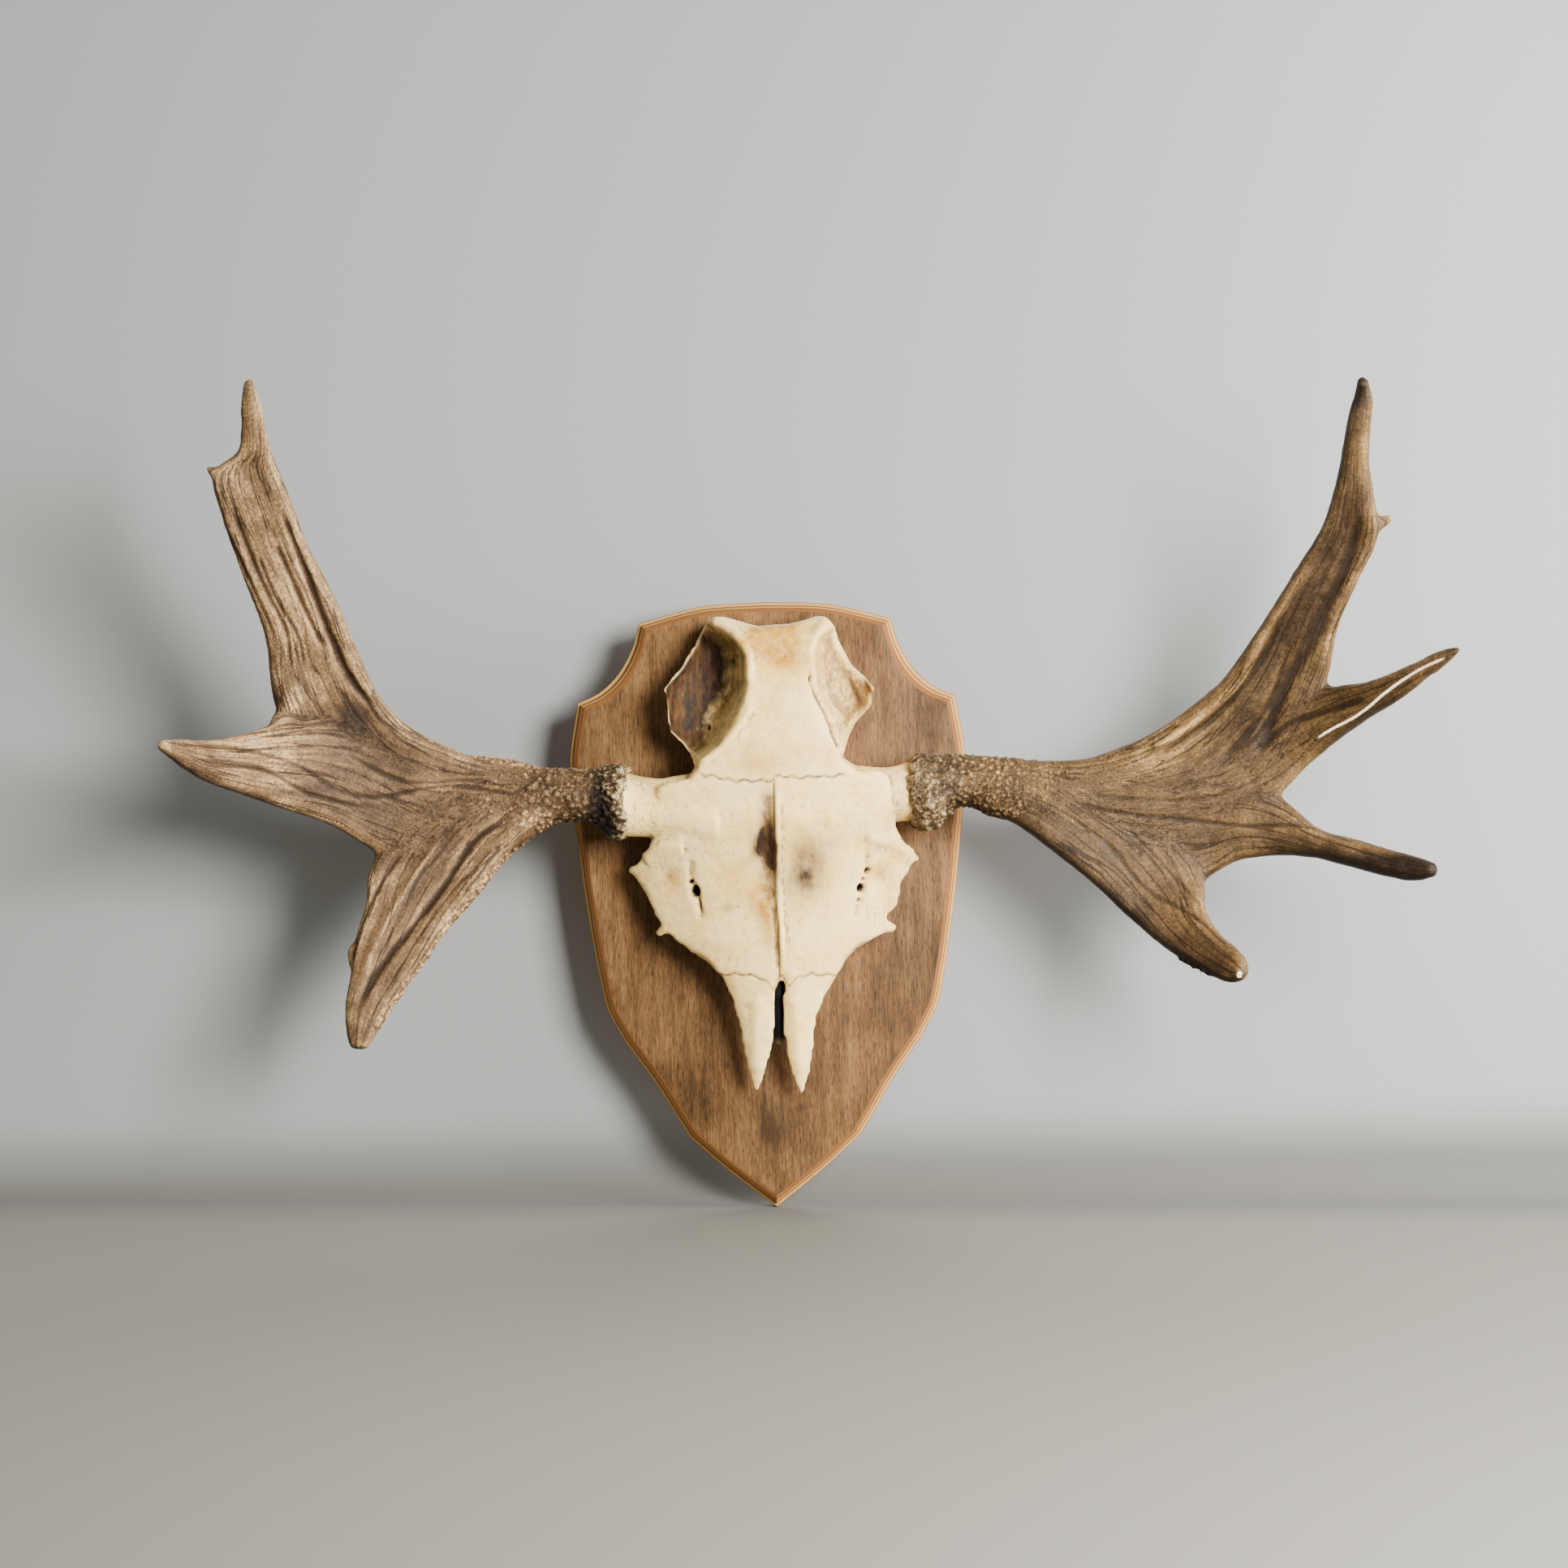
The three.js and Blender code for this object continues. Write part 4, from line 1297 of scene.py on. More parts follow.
LEFT_ANTLER = Antler(
    name="antler_left",
    nodes=(
        "antler_left_beam", "antler_left_palm", "antler_left_upper_blade",
        "antler_left_outer_tine", "antler_left_brow_blade",
    ),
    branches=(
        Branch(
            rows=(
                (-104, 97, -104, 53, -64, 22), (-120, 97, -121, 60, -66, 19), (-145, 98, -145, 63, -68, 18),
                (-170, 99, -167, 54, -72, 16), (-193, 104, -192, 45, -78, 13), (-221, 117, -238, 46, -86, 11),
                (-244, 130, -285, 69, -93, 10), (-263, 153, -317, 114, -102, 10),
                (-274, 181, -332, 146, -112, 10), (-287, 217, -335, 189, -126, 9.5),
                (-300, 246, -345, 225, -140, 9), (-311, 281, -356, 267, -156, 9),
                (-318, 302, -359, 294, -166, 8), (-321, 314, -342, 306, -172, 7),
                (-322, 329, -338, 324, -181, 6), (-325, 343, -335, 341, -190, 4.2),
                (-327, 351, -332, 351, -195, 2.5),
            ),
            rim_a=2.5,
            rim_b=1.5,
        ),
        Branch(
            rows=(
                (-150, 97, -150, 62, -69, 16), (-182, 106, -182, 40, -77, 12), (-214, 111, -216, 22, -84, 9),
                (-257, 126, -264, 42, -92, 9), (-298, 135, -297, 63, -106, 9.5),
                (-331, 131, -327, 75, -124, 10), (-355, 124, -350, 85, -142, 10),
                (-373, 122, -370, 94, -160, 8.5), (-385, 122, -382, 105, -178, 5.5),
                (-394, 121, -393, 115, -190, 3),
            ),
            cup=0.1,
        ),
        Branch(
            rows=(
                (-140, 62, -150, 97, -69, 16), (-155, 62, -190, 98, -76, 14), (-179, 40, -237, 77, -84, 12),
                (-202, 11, -272, 35, -92, 10), (-222, -11, -275, 9, -100, 9.5),
                (-237, -34, -281, -12, -108, 9), (-249, -50, -283, -32, -114, 8.5),
                (-258, -62, -287, -53, -120, 8.5), (-265, -74, -286, -71, -126, 8),
                (-271, -84, -283, -84, -130, 5),
            ),
            rim_a=4.5,
            rim_b=1.0,
        ),
    ),
    burr=Burr(
        rows=((-101, 75, 22), (-103.5, 75, 24.5), (-108, 75, 24.5), (-115, 76, 21)),
        y=-64, knobs=170, knob_radii=(1.4, 3.8),
    ),
    pearls=(
        PearlBand(((-112, 76), (-148, 79)), 25, 520, (1.1, 2.2)),
        PearlBand(((-148, 79), (-178, 79)), 20, 160, (0.9, 1.6)),
        PearlBand(((-143, 60), (-180, 36), (-205, 8), (-235, -35), (-262, -68)), 5.0, 420, (0.9, 2.0)),
        PearlBand(((-150, 101), (-195, 108), (-240, 132)), 4, 160, (0.9, 1.7)),
    ),
    strokes=(
        Stroke(((-317, 272), (-304, 232), (-296, 205), (-289, 183), (-279, 159), (-262, 138)), 2.2, 2.4),
        Stroke(((-322, 250), (-312, 223), (-302, 196), (-293, 178)), 1.7, 1.7),
        Stroke(((-348, 276), (-339, 244), (-328, 214), (-319, 193), (-318, 166)), 1.7, 1.8),
        Stroke(((-334, 243), (-323, 211), (-311, 187), (-309, 166)), 1.3, 1.3),
        Stroke(((-355, 262), (-343, 232), (-331, 202), (-323, 178)), 1.3, 1.3),
        Stroke(((-384, 119), (-347, 115), (-311, 102), (-292, 88)), 1.5, 1.2),
        Stroke(((-378, 109), (-336, 102), (-306, 84), (-270, 74)), 1.4, 1.1),
        Stroke(((-304, 93), (-274, 82), (-218, 88), (-169, 81)), 1.4, 1.1),
        Stroke(((-288, 114), (-249, 92), (-200, 91), (-169, 84)), 1.3, 0.9),
        Stroke(((-173, 69), (-201, 51), (-220, 24), (-245, -9), (-264, -33), (-279, -62)), 2.6, 2.2),
        Stroke(((-249, 46), (-268, 16), (-279, -11), (-284, -33)), 1.6, 1.4),
        Stroke(((-222, 56), (-247, 19), (-266, -15), (-275, -39)), 3.0, -1.6),
    ),
    rubbed=(
        Stroke(((-393, 119), (-397, 119)), 3.0, 0.6, Facing.BOTH),
    ),
    # stains and painted shade, and below 0 wear and painted highlight
    shade_and_stains=patches(
        (-279, 134, 18, 12, 1.15, -25), (-262, 104, 26, 14, 0.5, -10), (-218, 74, 24, 14, 0.25),
        (-300, 83, 22, 9, 0.45, -10), (-269, 72, 30, 12, 0.45, -15), (-172, 84, 26, 12, 0.35),
        (-376, 103, 16, 9, 0.45, -15), (-128, 78, 22, 30, 0.35), (-232, 28, 10, 40, 0.3, -35),
        (-344, 290, 14, 16, -0.6), (-316, 215, 16, 46, -0.55, 15), (-308, 150, 18, 18, -0.5),
        (-335, 118, 24, 12, -0.75, -8), (-205, 27, 9, 14, -0.5, -40), (-262, 10, 14, 24, -0.15),
        (-292, 270, 8, 60, 0.3, 16), (-352, 79, 40, 4.5, 0.6, 12), (-337, 93, 18, 8, -0.5),
        (-279, -76, 12, 10, 0.45), (-324, 335, 4, 18, -0.4), (-335, 335, 4, 18, 0.4),
    ),
    # a dark tip, and painted shade on the burr
    dark_tips_and_shade=patches(
        (-118, 74, 8, 30, 0.95), (-110, 60, 9, 12, 0.7), (-330, 350, 5, 6, 0.5),
    ),
    nubs=(
        (-357, -165, 294, 4.5), (-361, -166, 297, 3.4), (-364, -167, 299, 2.2), (-330, -192, 346, 4.6),
        (-275, -127, -79, 7.0), (-281, -122, -76, 5.0), (-281, -110, -28, 5.8), (-283, -107, -21, 4.8),
        (-390, -187, 118, 4.4), (-320, -115, 152, 8.5), (-321, -115, 142, 8.5), (-326, -118, 132, 8.5),
        (-336, -126, 123, 7.5),
    ),
    relief=0.9,
    tone=0.54,
    seed=3,
    finish=AntlerFinish("moose antler, weathered tan"),
)

RIGHT_ANTLER = Antler(
    name="antler_right",
    nodes=(
        "antler_right_beam", "antler_right_palm", "antler_right_upper_blade",
        "antler_right_upper_tine", "antler_right_lower_tine", "antler_right_brow_blade",
    ),
    branches=(
        Branch(
            rows=(
                (97, 103, 97, 56, -64, 22), (112, 103, 112, 56, -65, 21), (124, 102, 123, 66, -66, 19),
                (149, 100, 149, 64, -68, 18), (183, 97, 179, 46, -72, 16), (211, 98, 209, 29, -78, 13),
                (238, 106, 261, 33, -86, 11), (260, 117, 304, 57, -95, 10), (281, 132, 341, 89, -103, 10),
                (300, 148, 360, 122, -111, 10), (316, 170, 371.5, 150, -119, 10),
                (332, 195, 376, 179, -130, 9.5), (346, 219, 387, 208, -142, 9), (361, 245, 399, 238, -156, 8),
                (368, 270, 395, 265, -168, 8), (371, 290, 390, 288, -179, 7.5),
                (373, 309, 390, 310, -190, 6.5), (377, 325, 389, 325, -198, 5), (379, 336, 384, 336, -204, 3),
            ),
            cup=0.26,
            rim_a=2.5,
            rim_b=2.5,
        ),
        Branch(
            rows=(
                (214, 98, 214, 45, -79, 10), (262, 116, 270, 52, -90, 9), (300, 134, 312, 60, -98, 9),
                (331, 143, 338, 69, -105, 9), (358, 140, 356, 88, -112, 9.5), (378, 143, 374, 105, -125, 9.5),
                (395, 145, 389.5, 118, -141, 8.5), (411, 152, 409, 130, -157, 7),
                (425, 159, 426, 144, -173, 5.5), (435, 163, 437, 154, -186, 4),
                (443, 164, 444, 161, -191, 2.2),
            ),
            cup=0.16,
        ),
        Branch(
            rows=(
                (190, 90, 190, 42, -74, 12), (230, 90, 226, 22, -82, 10), (262, 86, 256, 18, -88, 9),
                (288, 85, 283, 12, -92, 9), (320, 79, 311, 26, -98, 10), (346, 64, 337, 29, -106, 10),
                (363, 48, 359, 27.5, -116, 9.5), (383, 41.5, 380, 21.5, -128, 9),
                (408, 33, 404, 14.5, -142, 8), (423.5, 27.5, 420, 12.5, -152, 7),
                (431.5, 24, 430, 15, -160, 4.5),
            ),
            cup=0.12,
        ),
        Branch(
            rows=(
                (140, 63, 150, 99, -69, 16), (163, 54, 197, 92, -74, 14), (193, 30.5, 240, 69, -82, 12),
                (214, 12.5, 274, 44, -89, 10.5), (238, -11.5, 288, 14, -99, 10),
                (256, -28, 288, -6, -110, 9.5), (273, -40.5, 295, -20, -122, 9),
                (289, -49, 303, -29, -134, 8), (297.5, -52, 308, -36, -142, 7),
                (304, -50, 308.5, -42, -147, 5),
            ),
            rim_a=2.5,
        ),
    ),
    burr=Burr(
        rows=((94, 79, 21), (97, 78, 24.5), (105, 77, 25.5), (113, 78, 23), (120, 81, 18)),
        y=-64, knobs=280, knob_radii=(1.6, 4.0),
    ),
    pearls=(
        PearlBand(((118, 81), (152, 81)), 25, 640, (0.9, 1.9)),
        PearlBand(((152, 81), (182, 80)), 20, 160, (0.9, 1.5)),
        PearlBand(
            ((147, 58), (176, 38), (206, 12), (233, -14), (261, -38.5), (283, -51)), 5.0, 420, (0.9, 2.0)
        ),
        PearlBand(((122, 104), (183, 101), (225, 107)), 4, 160, (0.9, 1.6)),
    ),
    strokes=(
        Stroke(((325, 100), (346, 152), (364, 185), (378, 218), (386, 252)), 5.0, 3.4),
        Stroke(((249, 96), (283, 121), (311, 145), (323, 170), (340, 198), (357, 225)), 3.6, -1.9),
        Stroke(((258, 97), (302, 129), (325, 159), (339, 184)), 2.2, 1.2),
        Stroke(((196, 70), (238, 60), (283, 54), (322, 50), (350, 50), (391, 35)), 1.4, 0.9),
        Stroke(((193, 64), (226, 38), (248, 10), (281, -11), (300, -32)), 1.5, 0.9),
        Stroke(((237, 52), (264, 21), (286, -5)), 1.3, 0.7),
        Stroke(((204, 75), (251, 69), (293, 70), (336, 86)), 1.3, 0.6),
        Stroke(((321, 98), (344, 117), (366, 125), (392, 133)), 2.2, 1.4),
        Stroke(((348, 157), (368, 190), (385, 217)), 3.0, -1.4),
        Stroke(((300, 92), (330, 128), (345, 170)), 2.4, 1.2),
    ),
    rubbed=(
        Stroke(
            ((357, 104), (368, 112), (384, 121), (404, 138.5), (421, 150.5), (439, 159)),
            1.0, 1.25, Facing.BOTH,
        ),
        Stroke(((301, -47), (305, -46)), 2.6, 1.1, Facing.BOTH),
    ),
    # stains and painted shade, and below 0 wear and painted highlight
    shade_and_stains=patches(
        (349, 177, 10, 55, 0.75, -28), (232, -9, 64, 10, 1.0, -42), (362, 27, 34, 9, 0.9, -15),
        (170, 48, 34, 8, 0.6, -30), (378, 245, 7, 34, 0.5, -14), (325, 114, 22, 14, 0.5),
        (392, 138, 26, 9, 0.55, 22), (388, 118, 30, 5, 0.9, 36), (292, -31, 14, 14, 0.5),
        (268, 104, 30, 12, -0.85, 28), (245, 88, 26, 12, -0.4, 10), (384, 285, 3.5, 22, -0.6, -2),
        (190, 84, 44, 12, -0.2), (265, 28, 26, 14, -0.25), (300, 84, 18, 10, -0.2),
        (340, 196, 18, 60, 0.55, -28),
    ),
    # dark tips, and painted shade under the tines and the brow blade's edge
    dark_tips_and_shade=patches(
        (428, 19, 32, 14, 1.3, -14), (396, 19, 46, 10, 1.1, -12), (381, 334, 9, 18, 1.0),
        (440, 162, 14, 8, 0.9, 35), (286, -50, 30, 8, 1.1, -33), (372, 290, 5, 44, 0.7, -5),
        (304, -47, 9, 7, 0.8), (234, -5, 60, 7, 0.8, -41),
    ),
    nubs=(
        (397, -156, 246, 4.8), (401, -157, 247, 5.0), (405, -158, 249, 4.8), (382, -203, 332, 4.6),
        (441, -190, 162, 2.6), (428, -158, 19.5, 5.0), (303, -146, -46, 5.0),
    ),
    relief=0.5,
    tone=0.46,
    seed=11,
    finish=AntlerFinish(
        "moose antler, dark brown, handled smooth", brown="#3f2e19", tan="#674d2d", pale="#b8935f",
        crust_dark="#1c1209", crust_mid="#523f26", crust_light="#b79c70", gloss=0.44,
    ),
)


# ---------------------------------------------------------------- skull


@dataclass(frozen=True)
class Pedicle:
    """The stalk of bone that carries an antler, as [x, z, radius] along it at one depth."""

    rows: tuple[Spot, ...]
    y: float = -64.0
    RING_STEP = 3.0
    RING_POINTS = 40

    def shell(self) -> Shell:
        """The stalk."""
        return tube(round_rings(smooth_rows(self.rows, self.RING_STEP), self.y, self.RING_POINTS))


@dataclass(frozen=True)
class SkullCap:
    """The roof of the skull, sawn off flat at the back: braincase, frontal bones with pedicles, nasal bones.

    Heights are above the board's front face.

    Attributes:
        name: The piece's name.
        nodes: The CAD nodes that it stands for.
        outline: [x, z] round it, clockwise from the middle of the nape's crest.
        pedicles: The stalks that carry the antlers.
        midline: [z, x] of the line that its two sides mirror about.
        heights: [z, height] of the crown along the midline.
        side_drops: [z, drop] from the midline to 90 mm beside it.
        vault_half_widths: [z, half-width] of the braincase's vault between the temples.
        temple_floor: Height of the temples' floor.
        temple_slopes: [z, width] of the slope from the vault down to that floor.
        plate: Thickness of the bone where it overhangs the board.
        wall_side: Distances from the midline between which the skull starts to overhang.
        wall_snout: The same as z, towards the snout.
        round_edge: Radius of its edges.
        round_snout: The same on the nasal bones.
        ridges: Ridges, with depths below 0.
        grooves: Furrows, the suture beside the right temple first.
        hollows: Shallow hollows, with their depths in millimetres.
        foramina: Holes for vessels and nerves, likewise.
        ochre: Yellow stains.
        earth_and_shade: Brown stains, painted shade left of the midline ridge and, with strengths below 0,
            clean places.
        shade_septum: Balls, [x, y, z, radius], that close the gap between the nasal bones from behind,
            painted black as shade.
        finish: What it is made of.
    """

    name: str = "skull_cap"
    nodes: tuple[str, ...] = (
        "braincase", "frontal_bone_left", "frontal_bone_right", "nasal_bone_left", "nasal_bone_right",
    )
    outline: tuple[Point, ...] = (
        (5, 195), (13, 195), (21, 197), (30, 200), (39, 200), (46, 193), (47, 185), (57, 166), (71, 151),
        (70, 138), (59, 126), (52, 112), (49, 103), (60, 94), (74, 93), (80, 88), (82, 70), (84, 56),
        (86, 49), (94, 39), (101, 32), (94, 25), (87, 14), (85, -1), (77, -8), (79, -11), (84, -13),
        (85, -18), (67, -24), (58, -28), (48, -37), (40, -50), (34, -60), (27, -76), (25, -93), (22, -111),
        (17, -129), (14, -130.5), (10, -121), (5.8, -104), (3, -85), (3, -69), (4, -56), (3.4, -46),
        (0.8, -55), (-1, -62), (-1, -78), (-3.2, -94), (-10, -117), (-14.5, -130), (-18, -128.5), (-21, -117),
        (-24, -101), (-27, -82), (-32, -63), (-38, -48), (-45, -41), (-54, -33), (-62, -27), (-75, -19),
        (-86, -21), (-83, -15), (-80, -10), (-85, -2), (-88, 8), (-93, 17), (-97, 23), (-102, 28), (-93, 35),
        (-86, 43), (-84, 50), (-82, 66), (-78, 86), (-70, 88), (-58, 90), (-53, 98), (-56, 103), (-61, 112),
        (-71, 122), (-72, 136), (-74, 152), (-62, 166), (-52, 182), (-45, 197), (-38, 201), (-31, 201),
        (-19, 197), (-8, 194),
    )
    pedicles: tuple[Pedicle, ...] = (
        Pedicle(((-38, 66, 27), (-58, 69, 24), (-75, 70, 20.5), (-90, 71, 20.5), (-105, 74, 22.5))),
        Pedicle(((38, 68, 27), (58, 72, 24), (74, 75, 20), (88, 77, 19.5), (98, 78, 21))),
    )
    midline: tuple[Point, ...] = (
        (-125, 1.5), (-46, 3.2), (-15, 3), (10, 1.2), (36, 1.2), (86, 2), (120, 4.5), (155, 7), (200, 4),
    )
    heights: tuple[Point, ...] = (
        (-130, 22), (-100, 31), (-80, 37), (-46, 46), (-22, 51), (0, 55), (20, 60), (40, 66), (60, 73),
        (86, 77), (112, 80), (140, 81), (165, 78), (186, 70), (196, 60), (206, 46),
    )
    side_drops: tuple[Point, ...] = (
        (-124, 90), (-60, 60), (-46, 44), (-20, 30), (10, 27), (40, 24), (66, 12), (90, 12), (206, 12),
    )
    vault_half_widths: tuple[Point, ...] = (
        (86, 80), (96, 56), (104, 45), (112, 36), (125, 28), (140, 22.5), (155, 20.5), (172, 20.5), (182, 25),
        (192, 38), (200, 48),
    )
    temple_floor: float = 27.0
    temple_slopes: tuple[Point, ...] = ((100, 24), (128, 21), (150, 12), (190, 10))
    plate: float = 7.0
    wall_side: Point = (50.0, 62.0)
    wall_snout: Point = (-30.0, -46.0)
    round_edge: float = 4.5
    round_snout: float = 9.0
    ridges: tuple[Stroke, ...] = (
        Stroke(((2, 84), (1.4, 40), (1.4, 10), (3, -18), (3.2, -40)), 2.4, -3.0),
        Stroke(((12, -58), (13, -90), (15, -118)), 5.0, -1.6),
        Stroke(((-13, -58), (-15, -90), (-16, -116)), 5.0, -1.6),
        Stroke(((-14, 150), (-14, 172), (-24, 188), (-42, 199)), 2.6, -2.2),
        Stroke(((28, 150), (28, 172), (33, 188), (42, 199)), 3.0, -1.6),
        Stroke(((-12, 140), (-22, 124), (-36, 108), (-50, 99)), 2.2, -1.4),
        Stroke(((-90, 34), (-74, 42), (-60, 44)), 5.0, -2.0),
        Stroke(((96, 33), (78, 44), (62, 46)), 5.0, -2.0),
    )
    grooves: tuple[Stroke, ...] = (
        Stroke(((26, 166), (28, 152), (32, 142), (38, 129), (43, 114), (46, 104)), 1.6, 2.6),
        Stroke(((-56, 36), (-58, 22), (-54, 8), (-50, -8)), 2.4, 1.6),
        Stroke(((64, 40), (62, 22), (58, 6), (54, -10)), 2.4, 1.6),
        Stroke(((-4, 82), (-6, 40), (-4, 2)), 6.5, 4.0),
        Stroke(((-1.5, 4), (0, -18), (0.5, -44)), 1.5, 1.6),
        Stroke(((-30, 150), (-45, 170), (-42, 185)), 6.0, 1.5),
        Stroke(((-8, -2), (-10, -30)), 6.0, 0.8),
    )
    hollows: tuple[Patch, ...] = patches(
        (-11, 35, 8, 12, 3.0), (19, 36, 12, 9, 3.4), (27, 30, 8, 7, 1.5), (-70, 20, 9, 12, 1.6),
        (74, 20, 9, 12, 1.6), (5, 176, 12, 8, 1.2), (-40, 60, 18, 14, 1.2), (42, 60, 18, 14, 1.2),
    )
    foramina: tuple[Patch, ...] = patches(
        (-55, 12, 2.4, 3.4, 13.0), (59, 12, 2.0, 2.2, 12.0), (-58, 18.5, 2.0, 1.3, 5.0, 30),
        (-52, 3, 0.8, 4.5, 4.0, 6), (64, 23.5, 1.4, 2.0, 8.0, -30), (57.5, 4, 1.4, 0.9, 4.0),
        (61, 18, 1.2, 1.0, 4.5), (27.5, 155, 1.7, 2.0, 8.0), (84, -9, 2.4, 1.6, 6.0, -20),
        (-26, 170, 1.0, 1.2, 3.0), (-44, 125, 1.3, 1.6, 3.5), (10, 171, 0.8, 0.8, 1.5),
    )
    ochre: tuple[Patch, ...] = patches(
        (1, 182, 17, 12, 1.9), (13, 166, 15, 9, 0.9), (10, 190, 24, 6, 0.6), (0, 120, 24, 40, 0.14),
        (-71, 22, 5, 8, 0.9), (60, 136, 10, 24, 0.45, 10), (19, 27, 15, 18, 0.4), (72, 24, 6, 6, 0.8),
        (78, 8, 7, 18, 0.35), (-5, -2, 4, 20, 0.6, 4), (-10, 2, 8, 22, 0.6, 4), (-14, 12, 8, 14, 0.4),
        (40, 160, 10, 20, 0.6, 20), (-60, 8, 12, 16, 0.3), (-12, 96, 12, 6, 0.35), (0, 100, 30, 10, 0.2),
        (-28, 20, 10, 14, 0.25),
    )
    # the first four, left of the midline ridge, are painted shade; the others are stains and, below 0, clean
    # places
    earth_and_shade: tuple[Patch, ...] = patches(
        (-3.5, 40, 5, 20, 0.8), (-8, 39, 9, 12, 0.85), (-5, 62, 4.5, 22, 0.35), (-9, 56, 9, 28, 0.28),
        (19, 27, 16, 20, 0.65), (18, 32, 9, 9, 0.2), (24, 16, 11, 10, 0.4), (1, 16, 2, 62, 0.4),
        (-30, 3, 9, 5, 0.25, 30), (-24, 30, 9, 12, 0.15), (-33, 126, 30, 11, -1.3, 58),
        (30, 38, 14, 12, 0.22), (62, 143, 7, 13, 0.75, 10), (52, 156, 6, 8, 0.3), (7, 150, 7, 5, 0.22),
        (67, 150, 2.2, 12, 0.7, 25), (56, 152, 2, 14, 0.5, 20), (40, 48, 16, 8, 0.14), (-32, 1, 3, 3, 0.35),
        (-72, 80, 9, 5, 0.1), (64, 124, 8, 8, 0.25), (4, 130, 10, 18, 0.12), (-16, 108, 4, 12, 0.3, -20),
    )
    # balls behind the nasal gap, painted black as shade
    shade_septum: tuple[Ball, ...] = (
        (2, -46, -47, 8), (1.6, -45, -51, 8), (1.4, -44, -56, 8), (1.2, -43, -61, 8), (1, -42, -66, 7.5),
        (1, -41, -71, 7.5), (1, -40, -76, 7), (1, -39, -81, 6.5), (0.8, -38, -86, 6), (0.6, -37, -91, 5),
    )
    finish: BoneFinish = field(default_factory=BoneFinish)
    SEED = 21
    CRUMB_SEED = 33
    GRID = 1.7  # spacing of the plate that is drawn out
    SPACING = 1.3  # spacing of the final skin
    DROP_AT = 90.0  # distance from the midline at which the drops hold
    DROP_POWER = 2.2
    NASAL_Z = -46.0  # where the nasal bones begin
    STAND_OFF = 0.3  # how far the sawn back stays off the board
    WAIST = 6.0  # the widest line lies no higher than this above the back
    STAIN_MOST = 1.15  # what the earth stains and the painted shade are held to
    FLOOR_EDGE = (7.0, 5.0)  # how high the temples' floor rises at its edge, and within how many mm of it
    FLOOR_FLARE = (9.0, 46.0, 26.0)  # its outward rise, and where across that starts and over how much
    SUTURE = 0.8  # half the width of a suture
    CROWN_SUTURE = ((-48, 92), (-22, 87), (0, 87), (3, 90), (26, 89), (48, 90))  # [x, z], as the next
    NASAL_SUTURE = (
        (-38, -46), (-26, -45), (-15, -46), (-7, -51), (-2, -55), (3, -46), (8, -53), (15, -47), (24, -46),
        (39, -47),
    )
    MIDDLE_SUTURE = ((-46, 3.4), (-15, 3.0), (10, 1.2), (36, 1.2), (86, 2.0))  # [z, x]

    def build(self) -> None:
        """Makes the skull cap and gives it its finish."""
        stalks = [pedicle.shell() for pedicle in self.pedicles]
        shell = fused(merged([self._plate(), beads(self.shade_septum), *stalks]), self.SPACING)
        relax(shell, 5)
        skin = Skin(self.name, shell)
        self._dress(skin)
        skin.shift(SKULL_OFFSET_X)
        add_piece(self.name, skin.mesh, self.finish.material(), self.nodes)

    def _plate(self) -> Shell:
        """The bone between front and back, as a grid cut to the outline and drawn out to both surfaces.

        Returns:
            The bone, without its pedicles.
        """
        corners = np.array(self.outline)
        low, high = corners.min(axis=0) - 2.0, corners.max(axis=0) + 2.0
        size = high - low
        shell = bmesh.new()
        columns, rows = (int(length / self.GRID) for length in size)
        bmesh.ops.create_grid(shell, x_segments=columns, y_segments=rows, size=0.5)
        verts = list(shell.verts)
        flat = np.array([tuple(v.co)[:2] for v in verts])
        flat = low + (flat + 0.5) * size
        broken = smoothstep(np.abs(flat[:, 0]), 40.0, 62.0) * smoothstep(flat[:, 1], 60.0, 40.0)
        level = np.stack([flat[:, 0], flat[:, 0] * 0.0, flat[:, 1]], axis=1)
        crumbs = Lattice(self.CRUMB_SEED).layered(level / 5.0, 2)
        depth = self._inside(flat) + (0.4 + 2.4 * broken) * crumbs
        for vert, (x, z) in zip(verts, flat):
            vert.co = (x, 0.0, z)
        bmesh.ops.delete(shell, geom=[v for v, d in zip(verts, depth) if d < 0.0], context="VERTS")
        back = list(shell.verts)
        made = bmesh.ops.extrude_face_region(shell, geom=list(shell.faces))["geom"]
        front = [part for part in made if isinstance(part, bmesh.types.BMVert)]
        for verts, is_front in ((back, False), (front, True)):
            spots = np.array([(v.co.x, v.co.z) for v in verts])
            heights = self._surfaces(spots)[0 if is_front else 1]
            for vert, height in zip(verts, heights):
                vert.co = Vector((vert.co.x, BOARD_FRONT - height, vert.co.z)) * MM
        bmesh.ops.delete(shell, geom=[v for v in shell.verts if not v.link_faces], context="VERTS")
        return shell

    def _inside(self, flat: np.ndarray) -> np.ndarray:
        """How far points lie inside the outline.

        Args:
            flat: An array of [x, z].

        Returns:
            Distances, below 0 outside it.
        """
        closed = list(self.outline) + [self.outline[0]]
        gap, _ = distance_to_line(flat, closed)
        crossings = np.zeros(len(flat), int)
        for (x0, z0), (x1, z1) in zip(closed[:-1], closed[1:]):
            spans = (z0 > flat[:, 1]) != (z1 > flat[:, 1])
            if z0 != z1:
                crossings += spans & (flat[:, 0] < x0 + (flat[:, 1] - z0) * (x1 - x0) / (z1 - z0))
        return np.where(crossings % 2, gap, -gap)

